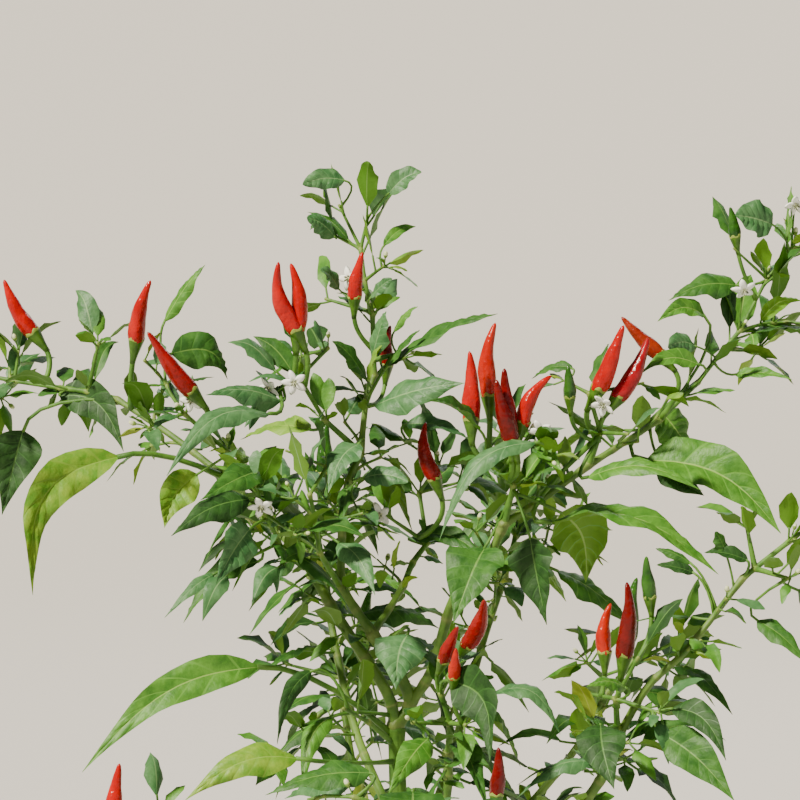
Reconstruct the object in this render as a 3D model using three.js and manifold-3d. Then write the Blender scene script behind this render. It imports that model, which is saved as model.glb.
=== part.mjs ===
// A bird's-eye chilli bush rooted in the ground: trunk, boughs and masses of foliage.
// Millimetres, +Z up, with the origin at the flat cut under the trunk at ground level.
import * as THREE from 'three';
import Module from 'manifold-3d';

const wasm = await Module();
wasm.setup();

// Driving dimensions of the wood
const seat = 0.3;
const trunkSides = 10;
const limbSides = 6;
const limbStep = 30;
const flareRadius = 4.6;
const flareHeight = 14;
const flareLobes = 5;
const lobeDepth = 0.2;
const nodeSwelling = 0.28;
const swellingLength = 5;

// Driving dimensions of the twigs and leaves
const internode = 22;
const zigzag = 0.09;
const leadOn = 0.45;
const thinnestTwig = 0.85;
const twigTaper = 0.011;
const goldenTurn = 2.39996;
const matureReach = 75;
const youngLeaf = 17;
const tipLeaf = 25;
const tipLeaves = 2;
const forkShare = 0.85;
const axilLeaf = 19;
const greatestRoll = 0.9;
const petioleShare = 0.3;
const leafWidthShare = 0.42;
const namedWidthShare = 0.34;
const namedRoll = 0.6;
const stalklessLeaf = 28;
const longLeaf = 40;
const leafFold = 0.07;
const leafArch = 0.07;
const petioleRadius = 0.6;
const rootRadius = 0.3;
const collarShare = 0.25;
const rootSpacing = 2.4;
const firstRoot = 0.6;
const rootReach = 0.85;
const meshTolerance = 0.01;
const limbClearance = 1.4;

// Driving dimensions of the fruit and blossom
const fruitRadius = 4.6;
const pedicelRadius = 0.9;
const calyxRadius = 2.5;
const fruitSides = 5;
const petalCount = 5;
const flowerRadius = 6.5;
const flowerThroat = 2.6;
const flowerDepth = 2;

const up = new THREE.Vector3(0, 0, 1);

const colours = {
  wood: 0x8b8a5c,
  stem: 0x7f8b52,
  foliage: 0x5d8a45,
};

// The trunk and the boughs: each one's radii at its start and tip, and the points of its bends
const limbPlans = [
  {
    name: 'trunk', radii: [6, 4.1],
    points: [[0, 0, 0], [2, 1, 70], [3, 3, 140], [0, 2, 215], [-2, 0, 286]],
  },
  {
    name: 'bough_left', radii: [3, 2.6],
    points: [[-2, 0, 286], [-8, -2, 305], [-30, 2, 338], [-50, 14, 371]],
  },
  {
    name: 'bough_left_upper', radii: [2.6, 2.1],
    points: [[-50, 14, 371], [-70, 26, 389], [-90, 36, 408]],
  },
  {
    name: 'bough_left_arm', radii: [1.9, 1.4],
    points: [[-90, 36, 408], [-118, 54, 427], [-147, 72, 444]],
  },
  {
    name: 'bough_centre', radii: [3.4, 2.7],
    points: [[-2, 0, 286], [5, 2, 296], [0, 0, 311], [-14, -4, 333]],
  },
  {
    name: 'bough_right', radii: [2.7, 2],
    points: [[5, 2, 296], [16, 0, 314], [27, -8, 351], [40, -12, 364], [52, -18, 390]],
  },
  {
    name: 'bough_right_arm', radii: [1.9, 1.7],
    points: [[52, -18, 390], [70, -12, 401], [95, 4, 417]],
  },
  {
    name: 'bough_right_outer', radii: [1.7, 1.5],
    points: [[95, 4, 417], [114, 12, 428], [132, 26, 438]],
  },
  { name: 'bough_middle', radii: [2.4, 2.2], points: [[-14, -4, 333], [-22, -2, 344], [-30, 0, 356]] },
  { name: 'bough_upper', radii: [2, 1.7], points: [[-30, 0, 356], [-28, 10, 399], [-20, 16, 422]] },
  { name: 'bough_top', radii: [1.6, 1.4], points: [[-20, 16, 422], [-17, 24, 448], [-13, 28, 460]] },
  { name: 'bough_inner', radii: [2, 1.6], points: [[-14, -4, 333], [-6, 6, 343], [2, 20, 354]] },
  {
    name: 'bough_second', radii: [2.5, 2.1],
    points: [[3, 3, 170], [14, -14, 212], [23, -29, 254], [24, -36, 278]],
  },
  {
    name: 'bough_low_right', radii: [2.9, 2.2],
    points: [[3, 3, 145], [46, -24, 192], [97, -50, 265], [106, -62, 291]],
  },
  {
    name: 'bough_low_right_outer', radii: [2, 1.4],
    points: [[106, -62, 291], [120, -70, 317], [139, -72, 336], [166, -64, 369]],
  },
  {
    name: 'bough_low_left', radii: [2.6, 1.7],
    points: [[3, 3, 125], [-38, -12, 158], [-86, -28, 205], [-122, -34, 236]],
  },
  {
    name: 'bough_low_front', radii: [2.5, 1.7],
    points: [[2, 2, 108], [10, -46, 144], [16, -84, 194], [8, -100, 240]],
  },
  {
    name: 'bough_low_back', radii: [2.6, 1.8],
    points: [[3, 3, 155], [2, 52, 190], [-22, 98, 236], [-30, 118, 272]],
  },
  {
    name: 'bough_low_side', radii: [2.4, 1.7],
    points: [[3, 3, 182], [42, 30, 212], [88, 58, 258], [108, 66, 290]],
  },
  {
    name: 'bough_back_right', radii: [2.5, 1.7],
    points: [[1, 2, 200], [24, 44, 252], [42, 88, 308], [56, 112, 346]],
  },
  {
    name: 'bough_back_left', radii: [2.4, 1.7],
    points: [[0, 2, 230], [-22, 54, 270], [-36, 104, 318], [-40, 122, 346]],
  },
];

// The masses of foliage: the bough that each one grows on from, the places that its shoots
// reach in turn, its mature leaf's length, and its own conspicuous leaves, fruits and flowers
const massPlans = [
  {
    name: 'foliage_left_tip', from: 'bough_left_arm', seed: 11, leaf: 46,
    shoots: [[-178, 84, 449], [-226, 98, 456], [-156, 66, 474], [-200, 90, 468], [-212, 120, 440]],
    leaves: [[[-197, 80, 427], [-208, 76, 383]], [[-178, 84, 445], [-143, 60, 418]]],
    fruits: [[[-192, 94, 476], [-208, 96, 505]], [[-136, 56, 475], [-128, 52, 507]]],
    flowers: [],
  },
  {
    name: 'foliage_left_inner', from: 'bough_left_upper', seed: 23, leaf: 44,
    shoots: [[-87, 26, 421], [-109, 14, 442], [-120, 38, 470], [-126, 0, 436]],
    leaves: [
      [[-142, 14, 420], [-182, -24, 355]], [[-116, 30, 471], [-88, 40, 457]],
      [[-120, 40, 487], [-99, 36, 516]], [[-108, 24, 410], [-123, 14, 381]],
    ],
    fruits: [[[-104, 6, 453], [-126, 0, 484]]],
    flowers: [[-105, 10, 449]],
  },
  {
    name: 'foliage_left_shoot', from: 'bough_left', seed: 37, leaf: 46,
    shoots: [[-57, -18, 372], [-66, -44, 398], [-70, -60, 414], [-84, -50, 372], [-50, -66, 390]],
    leaves: [
      [[-73, -50, 406], [-110, -76, 391]], [[-73, -56, 392], [-88, -84, 369]],
      [[-91, -50, 369], [-114, -66, 350]], [[-67, -50, 420], [-95, -90, 410]],
    ],
    fruits: [],
    flowers: [[-67, -66, 404]],
  },
  {
    name: 'foliage_centre_left', from: 'bough_middle', seed: 41, leaf: 44,
    shoots: [[-40, -22, 376], [-44, -50, 408], [-36, -34, 420], [-18, -42, 398], [-56, -34, 428]],
    leaves: [[[-30, -46, 384], [-12, -74, 362]]],
    fruits: [],
    flowers: [],
  },
  {
    name: 'foliage_centre_top', from: 'bough_upper', seed: 53, leaf: 46,
    shoots: [[-38, 2, 440], [-50, -12, 462], [-64, -6, 455], [-36, 0, 476], [-50, 22, 470]],
    leaves: [
      [[-64, -32, 446], [-112, -76, 420]], [[-59, -16, 451], [-95, -40, 456]],
      [[-45, 10, 434], [-82, 40, 426]],
    ],
    fruits: [[[-51, -16, 485], [-60, -20, 520]], [[-51, -15, 485], [-54, -13, 519]]],
    flowers: [[-52, -26, 461], [-65, -10, 457]],
  },
  {
    name: 'foliage_top', from: 'bough_top', seed: 67, leaf: 40,
    shoots: [
      [-14, 30, 492], [-22, 36, 522], [-22, 36, 542], [-10, 28, 544], [-36, 42, 532],
      [2, 22, 508], [4, 12, 480], [-38, 44, 498],
    ],
    leaves: [
      [[-5, 20, 466], [49, 4, 493]], [[-13, 14, 446], [32, -6, 459]], [[-28, 28, 559], [-49, 20, 557]],
      [[-8, 32, 557], [11, 30, 563]], [[-36, 34, 541], [-46, 16, 535]], [[-8, 30, 526], [8, 44, 535]],
    ],
    fruits: [[[-23, 22, 499], [-19, 20, 523]], [[-7, 50, 462], [-5, 51, 484]]],
    flowers: [[-26, 14, 516]],
  },
  {
    name: 'foliage_centre_right', from: 'bough_inner', seed: 79, leaf: 46,
    shoots: [[14, 46, 372], [10, 66, 396], [20, 54, 412], [-8, 38, 388], [34, 66, 402], [4, 46, 424]],
    leaves: [[[3, 40, 434], [36, 30, 427]], [[5, 50, 374], [43, 30, 366]]],
    fruits: [[[18, 30, 406], [13, 30, 436]]],
    flowers: [[-10, 26, 389]],
  },
  {
    name: 'foliage_right_fork', from: 'bough_right', seed: 83, leaf: 44,
    shoots: [[56, -26, 410], [40, -30, 424], [62, -32, 432], [50, -12, 434], [72, -42, 426]],
    leaves: [
      [[49, -30, 423], [19, -66, 388]], [[64, -36, 385], [72, -44, 343]],
      [[80, -14, 395], [94, 14, 356]], [[39, -40, 439], [14, -60, 455]],
    ],
    fruits: [
      [[35, -34, 442], [34, -34, 477]], [[44, -22, 453], [47, -20, 490]], [[54, -41, 434], [51, -40, 469]],
      [[55, -43, 433], [47, -47, 464]], [[60, -36, 441], [74, -34, 465]],
    ],
    flowers: [[69, -38, 438]],
  },
  {
    name: 'foliage_right_mid', from: 'bough_right_arm', seed: 97, leaf: 44,
    shoots: [[100, -4, 434], [94, -8, 454], [122, 6, 458], [82, -4, 460], [110, -30, 450]],
    leaves: [
      [[74, -30, 392], [156, -44, 368]], [[99, -16, 417], [144, -40, 405]],
      [[86, -2, 466], [66, 8, 460]],
    ],
    fruits: [
      [[98, -8, 455], [111, -10, 488]], [[108, -4, 451], [124, 0, 481]], [[132, 20, 470], [112, 24, 490]],
      [[84, -18, 452], [83, -20, 469]],
    ],
    flowers: [[101, -14, 449]],
  },
  {
    name: 'foliage_right_tip', from: 'bough_right_outer', seed: 103, leaf: 44,
    shoots: [
      [152, 36, 456], [174, 44, 482], [188, 50, 508], [202, 56, 524], [170, 40, 524],
      [228, 66, 514], [214, 62, 480], [186, 74, 468], [234, 60, 468],
    ],
    leaves: [
      [[124, 8, 419], [190, -10, 384]], [[143, 40, 436], [153, 70, 408]], [[172, 44, 505], [136, 30, 498]],
      [[184, 44, 533], [169, 30, 545]], [[185, 46, 487], [204, 30, 498]],
    ],
    fruits: [[[171, 42, 529], [168, 41, 545]]],
    flowers: [[202, 48, 546], [175, 36, 503]],
  },
  {
    name: 'foliage_low_right', from: 'bough_low_right', seed: 113, leaf: 46,
    shoots: [[104, -76, 312], [124, -92, 308], [94, -88, 298], [114, -88, 334], [90, -60, 312]],
    leaves: [
      [[96, -90, 302], [101, -118, 276]], [[130, -92, 310], [154, -114, 289]],
      [[108, -92, 320], [88, -112, 324]], [[126, -96, 298], [158, -116, 270]],
    ],
    fruits: [
      [[99, -68, 332], [102, -66, 357]], [[108, -76, 332], [109, -78, 369]],
      [[120, -80, 361], [118, -82, 382]],
    ],
    flowers: [],
  },
  {
    name: 'foliage_low_right_tip', from: 'bough_low_right_outer', seed: 127, leaf: 46,
    shoots: [[190, -58, 387], [216, -50, 404], [168, -60, 394], [218, -66, 378], [186, -88, 372]],
    leaves: [
      [[172, -76, 350], [196, -90, 330]], [[193, -64, 363], [224, -62, 340]],
    ],
    fruits: [],
    flowers: [],
  },
  {
    name: 'foliage_second', from: 'bough_second', seed: 131, leaf: 44,
    shoots: [[20, -48, 310], [32, -58, 296], [28, -44, 324], [6, -52, 296]],
    leaves: [
      [[25, -62, 318], [43, -92, 284]], [[44, -56, 311], [78, -62, 292]], [[14, -50, 288], [-6, -84, 266]],
    ],
    fruits: [
      [[33, -50, 333], [41, -50, 358]], [[21, -60, 327], [24, -62, 341]], [[27, -42, 330], [29, -38, 346]],
    ],
    flowers: [],
  },
  {
    name: 'foliage_fork', from: 'trunk', seed: 139, leaf: 40,
    root: [-3, 0, 276], rootHeading: [-0.7, -0.6, 0.4],
    shoots: [[-16, -16, 290], [-28, -34, 300]],
    leaves: [
      [[-70, -30, 320], [-155, -60, 273]], [[-25, -24, 295], [-50, -76, 268]],
      [[-44, -30, 318], [-60, -56, 286]],
    ],
    fruits: [],
    flowers: [],
  },
  {
    name: 'foliage_low_left', from: 'bough_low_left', seed: 149, leaf: 58,
    shoots: [[-142, -34, 246], [-176, -26, 262], [-128, -60, 240], [-150, -4, 236], [-112, -6, 246]],
    leaves: [[[-70, -56, 262], [-116, -74, 246]], [[-160, -44, 232], [-204, -52, 196]]],
    fruits: [[[-143, -34, 244], [-139, -32, 272]]],
    flowers: [],
  },
  {
    name: 'foliage_low_front', from: 'bough_low_front', seed: 151, leaf: 60,
    shoots: [[8, -112, 262], [-22, -116, 272], [38, -104, 262], [4, -144, 258], [-44, -92, 266]],
    leaves: [
      [[-14, -108, 282], [-64, -112, 272]], [[6, -122, 276], [2, -166, 246]],
      [[30, -120, 270], [70, -130, 256]], [[-20, -96, 276], [-56, -70, 262]],
    ],
    fruits: [[[46, -96, 268], [47, -96, 292]]],
    flowers: [],
  },
  {
    name: 'foliage_low_back', from: 'bough_low_back', seed: 163, leaf: 60,
    shoots: [[-32, 130, 288], [-62, 140, 294], [0, 146, 286], [-30, 168, 272], [-76, 108, 266]],
    leaves: [[[-42, 152, 270], [-66, 196, 232]], [[0, 132, 262], [34, 164, 232]]],
    fruits: [[[-20, 156, 300], [-16, 162, 332]]],
    flowers: [],
  },
  {
    name: 'foliage_low_side', from: 'bough_low_side', seed: 167, leaf: 58,
    shoots: [[122, 72, 306], [146, 60, 320], [112, 98, 316], [96, 48, 310], [150, 92, 300]],
    leaves: [[[128, 76, 290], [172, 84, 262]], [[104, 92, 292], [104, 136, 258]]],
    fruits: [[[120, 74, 318], [124, 76, 350]]],
    flowers: [],
  },
  {
    name: 'foliage_back_right', from: 'bough_back_right', seed: 173, leaf: 54,
    shoots: [[62, 124, 366], [40, 136, 392], [76, 132, 388], [50, 166, 366], [92, 108, 362]],
    leaves: [[[66, 140, 352], [92, 182, 322]], [[84, 118, 348], [126, 122, 316]]],
    fruits: [[[56, 136, 396], [58, 140, 430]]],
    flowers: [],
  },
  {
    name: 'foliage_back_left', from: 'bough_back_left', seed: 181, leaf: 54,
    shoots: [[-44, 132, 364], [-66, 140, 384], [-24, 148, 388], [-48, 170, 362], [-86, 118, 368]],
    leaves: [[[-56, 148, 350], [-84, 186, 316]], [[-76, 124, 352], [-116, 116, 320]]],
    fruits: [[[-42, 146, 396], [-40, 150, 428]]],
    flowers: [],
  },
];

// A repeatable run of numbers from 0 up to 1
function seededRandom(seed) {
  let state = seed;
  return () => {
    state = (Math.imul(state, 1664525) + 1013904223) >>> 0;
    return state / 4294967296;
  };
}

function vector(numbers) {
  return new THREE.Vector3(numbers[0], numbers[1], numbers[2]);
}

function between(start, end) {
  return new THREE.Vector3().subVectors(end, start);
}

// The level direction square to a heading, or +X for a heading straight up
function sideOf(heading) {
  const side = new THREE.Vector3().crossVectors(heading, up);
  if (side.lengthSq() < 0.0001) side.set(1, 0, 0);
  return side.normalize();
}

// A closed solid from matching sections, with a flat start and a flat or pointed end
function loft(sections, tip) {
  const sides = sections[0].length;
  const corners = sections.flat();
  const faces = [];
  for (let section = 0; section + 1 < sections.length; section += 1) {
    for (let side = 0; side < sides; side += 1) {
      const first = section * sides + side;
      const second = section * sides + (side + 1) % sides;
      faces.push(first, second, second + sides, first, second + sides, first + sides);
    }
  }
  const last = (sections.length - 1) * sides;
  for (let side = 1; side + 1 < sides; side += 1) {
    faces.push(0, side + 1, side);
    if (!tip) faces.push(last, last + side, last + side + 1);
  }
  if (tip) {
    corners.push(tip);
    for (let side = 0; side < sides; side += 1) {
      faces.push(last + side, last + (side + 1) % sides, corners.length - 1);
    }
  }
  const places = new Float32Array(corners.flatMap((corner) => corner.toArray()));
  return new wasm.Manifold(new wasm.Mesh({
    numProp: 3,
    vertProperties: places,
    triVerts: new Uint32Array(faces),
  }));
}

// A round section; radiusAt may change the radius with the angle
function roundSection(centre, heading, side, radiusAt, sides) {
  const over = new THREE.Vector3().crossVectors(heading, side);
  const section = [];
  for (let corner = 0; corner < sides; corner += 1) {
    const angle = (2 * Math.PI * corner) / sides;
    const radius = radiusAt(angle);
    section.push(centre.clone()
      .addScaledVector(side, Math.cos(angle) * radius)
      .addScaledVector(over, Math.sin(angle) * radius));
  }
  return section;
}

// A tapering tube through a row of points, its sections turned as little as they can be
function tube(points, radii, sides, shapeAt) {
  const sections = [];
  let side = null;
  points.forEach((point, index) => {
    const before = points[Math.max(index - 1, 0)];
    const after = points[Math.min(index + 1, points.length - 1)];
    const heading = between(before, after).normalize();
    if (side === null) side = sideOf(heading);
    side = side.clone().addScaledVector(heading, -side.dot(heading)).normalize();
    const level = index === 0 && shapeAt ? up : heading;
    const radiusAt = (angle) => radii[index] * (shapeAt ? shapeAt(point, angle) : 1);
    sections.push(roundSection(point, level, side, radiusAt, sides));
  });
  return loft(sections);
}

// The points and radii of a limb: a smooth curve through its bends, with swollen ends
function layLimb(plan) {
  const curve = new THREE.CatmullRomCurve3(plan.points.map(vector), false, 'catmullrom', 0.5);
  const length = curve.getLength();
  const steps = Math.max(plan.points.length, Math.round(length / limbStep));
  const points = curve.getPoints(steps);
  const isTrunk = plan.name === 'trunk';
  const radii = points.map((point, index) => {
    const along = index / steps;
    const toEnd = length * (isTrunk ? 1 - along : Math.min(along, 1 - along));
    const swelling = 1 + nodeSwelling * Math.exp(-((toEnd / swellingLength) ** 2));
    const taper = plan.radii[0] + (plan.radii[1] - plan.radii[0]) * along;
    return taper * swelling;
  });
  const heading = between(points[steps - 1], points[steps]).normalize();
  return { name: plan.name, points, radii, heading, tip: points[steps], endRadius: plan.radii[1] };
}

// The trunk's root flare: lobes that spread out towards the ground
function flareAt(point, angle) {
  const nearGround = Math.exp(-point.z / flareHeight);
  const lobe = 1 + lobeDepth * nearGround * Math.cos(flareLobes * angle);
  return lobe * (1 + (flareRadius / 6) * nearGround);
}

// A limb's solid, grown outwards by a margin where its neighbours are cut clear of it
function limbSolid(limb, margin) {
  const points = limb.points.map((point) => point.clone());
  if (limb.name !== 'trunk') {
    const startHeading = between(points[0], points[1]).normalize();
    points[0].addScaledVector(startHeading, -margin);
  }
  points[points.length - 1].addScaledVector(limb.heading, margin);
  const radii = limb.radii.map((radius) => radius + margin);
  if (limb.name !== 'trunk') return tube(points, radii, limbSides);
  const lowest = [0, 6, 14, 28].map((height) => new THREE.Vector3(height * 0.03, height * 0.015, height));
  const lowRadii = lowest.map(() => limb.radii[0] + margin);
  return tube([...lowest, ...points.slice(3)], [...lowRadii, ...radii.slice(3)], trunkSides, flareAt);
}

// The biggest body of a solid, without loose scraps and sealed hollows
function mainBody(solid) {
  return solid.decompose().reduce((best, body) => (body.volume() > best.volume() ? body : best));
}

function boxesMeet(first, second) {
  return [0, 1, 2].every((axis) => first.min[axis] < second.max[axis] && second.min[axis] < first.max[axis]);
}

// Whether a solid runs into any of the others
function runsInto(solid, others) {
  const box = solid.boundingBox();
  return others.some((other) => {
    if (!boxesMeet(box, other.box)) return false;
    return !solid.intersect(other.solid).isEmpty();
  });
}

function withBox(solid) {
  return { solid, box: solid.boundingBox() };
}

// The distance from a point to the nearest of a row of points joined by straight lines
function distanceToLine(place, points) {
  const line = new THREE.Line3();
  const nearest = new THREE.Vector3();
  let best = Infinity;
  for (let index = 0; index + 1 < points.length; index += 1) {
    line.set(points[index], points[index + 1]);
    line.closestPointToPoint(place, true, nearest);
    best = Math.min(best, nearest.distanceTo(place));
  }
  return best;
}

// Whether places keep clear of every limb, but for those near the mass's own root
function clearOfLimbs(places, limbs, root) {
  return places.every((place) => limbs.every((limb) => {
    if (place.distanceTo(root) < 12) return true;
    const thickest = Math.max(limb.radii[0], limb.radii[limb.radii.length - 1]);
    return distanceToLine(place, limb.points) > thickest + limbClearance;
  }));
}

// The node of the twigs that a shoot, leaf or fruit at a place grows from: the nearest
// one, with those above the place put further off
function nearestNode(nodes, place) {
  const cost = (node) => node.place.distanceTo(place) + 0.8 * Math.max(0, node.place.z - place.z);
  return nodes.reduce((best, node) => (cost(node) < cost(best) ? node : best));
}

// One shoot from a node to the place that it reaches: it leads on from its node's heading,
// bends over to the place, zigzags a little at each joint and runs on into a leaf
function growShoot(start, reachFor) {
  const chord = between(start.place, reachFor);
  const reach = chord.length();
  const count = Math.max(1, Math.round(reach / internode));
  const bend = start.heading.clone().multiplyScalar(reach * 0.5).addScaledVector(chord, -0.5);
  const control = start.place.clone().addScaledVector(chord, 0.5).addScaledVector(bend, leadOn);
  const curve = new THREE.QuadraticBezierCurve3(start.place, control, reachFor);
  const side = sideOf(chord.clone().normalize());
  const points = [];
  const radii = [];
  for (let joint = 0; joint <= count; joint += 1) {
    const along = joint / count;
    const sway = joint === 0 || joint === count ? 0 : zigzag * internode * (joint % 2 === 0 ? 1 : -1);
    points.push(curve.getPoint(along).addScaledVector(side, sway));
    radii.push(Math.min(start.radius * forkShare, thinnestTwig + twigTaper * reach * (1 - along)));
  }
  const heading = between(points[count - 1], points[count]).normalize();
  const leafAlong = (share) => reachFor.clone().addScaledVector(heading, tipLeaf * share);
  const leaf = {
    base: leafAlong(petioleShare),
    tip: leafAlong(1 + petioleShare),
    width: tipLeaf * leafWidthShare,
  };
  return { points, radii, heading, leaf };
}

// All the twigs of a mass and the nodes along them, each node with its heading and its age
function growTwigs(plan, bough, limbs, neighbours) {
  const root = plan.root ? vector(plan.root) : bough.tip;
  const heading = plan.rootHeading ? vector(plan.rootHeading).normalize() : bough.heading;
  const nodes = [{ place: root, heading, radius: bough.endRadius * 0.8 }];
  const twigs = [];
  const skipped = [];
  plan.shoots.forEach((place, order) => {
    const reachFor = vector(place);
    const start = nearestNode(nodes, reachFor);
    const shoot = growShoot(start, reachFor);
    const solid = shootSolid(shoot);
    const others = limbs.filter((limb) => limb !== bough);
    const touches = start !== nodes[0] && runsInto(solid, neighbours);
    if (touches || !clearOfLimbs(shoot.points.slice(1), others, root)) {
      skipped.push(`shoot ${order}`);
      return;
    }
    twigs.push(solid);
    if (order === 0) nodes[0].place = shoot.points[0].clone().lerp(shoot.points[1], collarShare);
    for (let joint = 1; joint < shoot.points.length; joint += 1) {
      const toTip = shoot.points[joint].distanceTo(reachFor);
      nodes.push({
        place: shoot.points[joint],
        heading: between(shoot.points[joint - 1], shoot.points[joint]).normalize(),
        length: shoot.points[joint].distanceTo(shoot.points[joint - 1]),
        radius: shoot.radii[joint],
        age: Math.min(1, toTip / matureReach),
        load: 0,
        isTip: joint === shoot.points.length - 1,
      });
    }
  });
  return { root, nodes, twigs, skipped };
}

// The next free place on a node's twig, a little further back for each thing that grows there
function takeRoot(node) {
  const back = (rootSpacing * (node.load + firstRoot)) % (node.length * rootReach);
  node.load += 1;
  return node.place.clone().addScaledVector(node.heading, -back);
}

// A leaf at a node: its blade's base and tip, from its heading and length
function leafAt(node, heading, length, roll) {
  const root = takeRoot(node);
  const base = root.clone().addScaledVector(heading, length * petioleShare);
  base.z += length * 0.04;
  const tip = root.clone().addScaledVector(heading, length * (1 + petioleShare));
  return { root, base, tip, width: length * leafWidthShare, roll };
}

// The leaves that the rule sets on the nodes: one at each joint, in turn round the twig and
// bending out and down as they age, and a fan of small ones at each tip
function growLeaves(plan, nodes, random) {
  const leaves = [];
  let turn = plan.seed;
  nodes.slice(1).forEach((node, order) => {
    const side = sideOf(node.heading);
    const over = new THREE.Vector3().crossVectors(node.heading, side);
    const outward = new THREE.Vector3(node.place.x, node.place.y, 0).normalize();
    const count = node.isTip ? tipLeaves : 1 + (order % 2);
    for (let leaf = 0; leaf < count; leaf += 1) {
      turn += goldenTurn + 0.5 * (random() - 0.5);
      const heading = node.heading.clone().multiplyScalar(0.55)
        .addScaledVector(side, 0.9 * Math.cos(turn))
        .addScaledVector(over, 0.9 * Math.sin(turn))
        .addScaledVector(outward, 0.35)
        .addScaledVector(up, 0.35 - 0.9 * node.age)
        .normalize();
      const mature = youngLeaf + (plan.leaf - youngLeaf) * Math.min(1, 1.6 * node.age);
      const size = node.isTip ? tipLeaf : [mature, axilLeaf][leaf];
      const length = size * (0.8 + 0.4 * random());
      leaves.push(leafAt(node, heading, length, greatestRoll * (2 * random() - 1)));
    }
  });
  return leaves;
}

// A leaf that the plan names, on a stalk from the nearest node
function namedLeaf(nodes, ends) {
  const base = vector(ends[0]);
  const tip = vector(ends[1]);
  const node = nearestNode(nodes.slice(1), base);
  const roll = namedRoll * Math.sign(tip.x - base.x);
  return { root: takeRoot(node), base, tip, width: base.distanceTo(tip) * namedWidthShare, roll };
}

// The midline of a leaf's blade, which arches up and then hangs
function bladePoint(leaf, along) {
  const length = leaf.base.distanceTo(leaf.tip);
  const point = leaf.base.clone().lerp(leaf.tip, along);
  point.z += leafArch * length * Math.sin(Math.PI * along);
  return point;
}

// A three-cornered section: two edges and a keel below
function keelSection(centre, side, down, halfWidth, lift, drop) {
  return [
    centre.clone().addScaledVector(side, halfWidth).addScaledVector(down, -lift),
    centre.clone().addScaledVector(down, drop),
    centre.clone().addScaledVector(side, -halfWidth).addScaledVector(down, -lift),
  ];
}

// A side direction carried round from one heading to another by the least turn
function carried(side, from, to) {
  return side.clone().applyQuaternion(new THREE.Quaternion().setFromUnitVectors(from, to));
}

// A three-cornered section of a stalk or a twig, square to its heading
function stalkSection(centre, heading, side, radius) {
  const down = new THREE.Vector3().crossVectors(heading, side);
  return keelSection(centre, side, down, radius, radius / 2, radius);
}

// The sections of a folded blade, before its point: two on a long one, one on a short one
function bladeSections(leaf, side, down) {
  const length = leaf.base.distanceTo(leaf.tip);
  const thickness = Math.max(0.45, length / 70);
  const halfWidth = leaf.width / 2;
  const section = (along, share) => keelSection(
    bladePoint(leaf, along), side, down, halfWidth * share, leaf.width * leafFold * share, thickness,
  );
  return length > longLeaf ? [section(0.3, 1), section(0.68, 0.66)] : [section(0.42, 1)];
}

// A leaf's solid: a thin stalk sunk in its twig, and its blade
function leafSolid(leaf) {
  const heading = between(leaf.base, leaf.tip).normalize();
  const side = sideOf(heading).applyAxisAngle(heading, leaf.roll);
  const down = new THREE.Vector3().crossVectors(heading, side);
  const stalkHeading = between(leaf.root, leaf.base).normalize();
  const bendHeading = heading.clone().add(stalkHeading).normalize();
  const rootSide = carried(side, heading, stalkHeading);
  const sections = [stalkSection(leaf.root, stalkHeading, rootSide, rootRadius)];
  if (leaf.base.distanceTo(leaf.tip) > stalklessLeaf) {
    sections.push(stalkSection(leaf.base, bendHeading, carried(side, heading, bendHeading), petioleRadius));
  }
  return loft([...sections, ...bladeSections(leaf, side, down)], leaf.tip);
}

// A shoot's solid: three-sided, and running on into the leaf at its tip
function shootSolid(shoot) {
  let side = sideOf(shoot.heading);
  const sections = shoot.points.map((point, index) => {
    const before = shoot.points[Math.max(index - 1, 0)];
    const after = shoot.points[Math.min(index + 1, shoot.points.length - 1)];
    const heading = between(before, after).normalize();
    side = side.clone().addScaledVector(heading, -side.dot(heading)).normalize();
    return stalkSection(point, heading, side, shoot.radii[index]);
  });
  const down = new THREE.Vector3().crossVectors(shoot.heading, side);
  return loft([...sections, ...bladeSections(shoot.leaf, side, down)], shoot.leaf.tip);
}

// A chilli on its pedicel: calyx, broad shoulder, slow taper and a point
function fruitSolid(fruit) {
  const heading = between(fruit.base, fruit.tip).normalize();
  const side = sideOf(heading);
  const section = (centre, radius) => roundSection(centre, heading, side, () => radius, fruitSides);
  const along = (share) => fruit.base.clone().lerp(fruit.tip, share);
  const slimness = Math.min(1, fruit.base.distanceTo(fruit.tip) / 34);
  const radius = fruitRadius * (0.6 + 0.4 * slimness);
  const stalkHeading = between(fruit.root, fruit.base).normalize();
  const rootSide = carried(side, heading, stalkHeading);
  const sections = [
    roundSection(fruit.root, stalkHeading, rootSide, () => rootRadius, fruitSides),
    section(along(-0.08), pedicelRadius * 1.2),
    section(along(0), calyxRadius * slimness),
    section(along(0.14), radius * 0.92),
    section(along(0.4), radius),
    section(along(0.76), radius * 0.62),
  ];
  return loft(sections, fruit.tip);
}

// A nodding star flower on its pedicel
function flowerSolid(flower) {
  const pedicel = tube([flower.root, flower.centre], [rootRadius, pedicelRadius * 0.8], 3);
  const facing = new THREE.Vector3(0, -0.6, -0.8);
  const side = sideOf(facing);
  const petals = (angle) => (Math.cos(petalCount * angle) > 0 ? flowerRadius : flowerThroat);
  const section = (offset, radiusAt) => roundSection(
    flower.centre.clone().addScaledVector(facing, offset), facing, side, radiusAt, petalCount * 2,
  );
  const star = loft([
    section(-flowerDepth * 0.5, () => flowerThroat * 0.6),
    section(flowerDepth * 0.4, petals),
  ], flower.centre.clone().addScaledVector(facing, flowerDepth));
  return pedicel.add(star);
}

// The places along a leaf that are tested against the limbs
function leafPlaces(leaf) {
  return [0.05, 0.35, 0.65, 0.95].map((along) => bladePoint(leaf, along));
}

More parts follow.
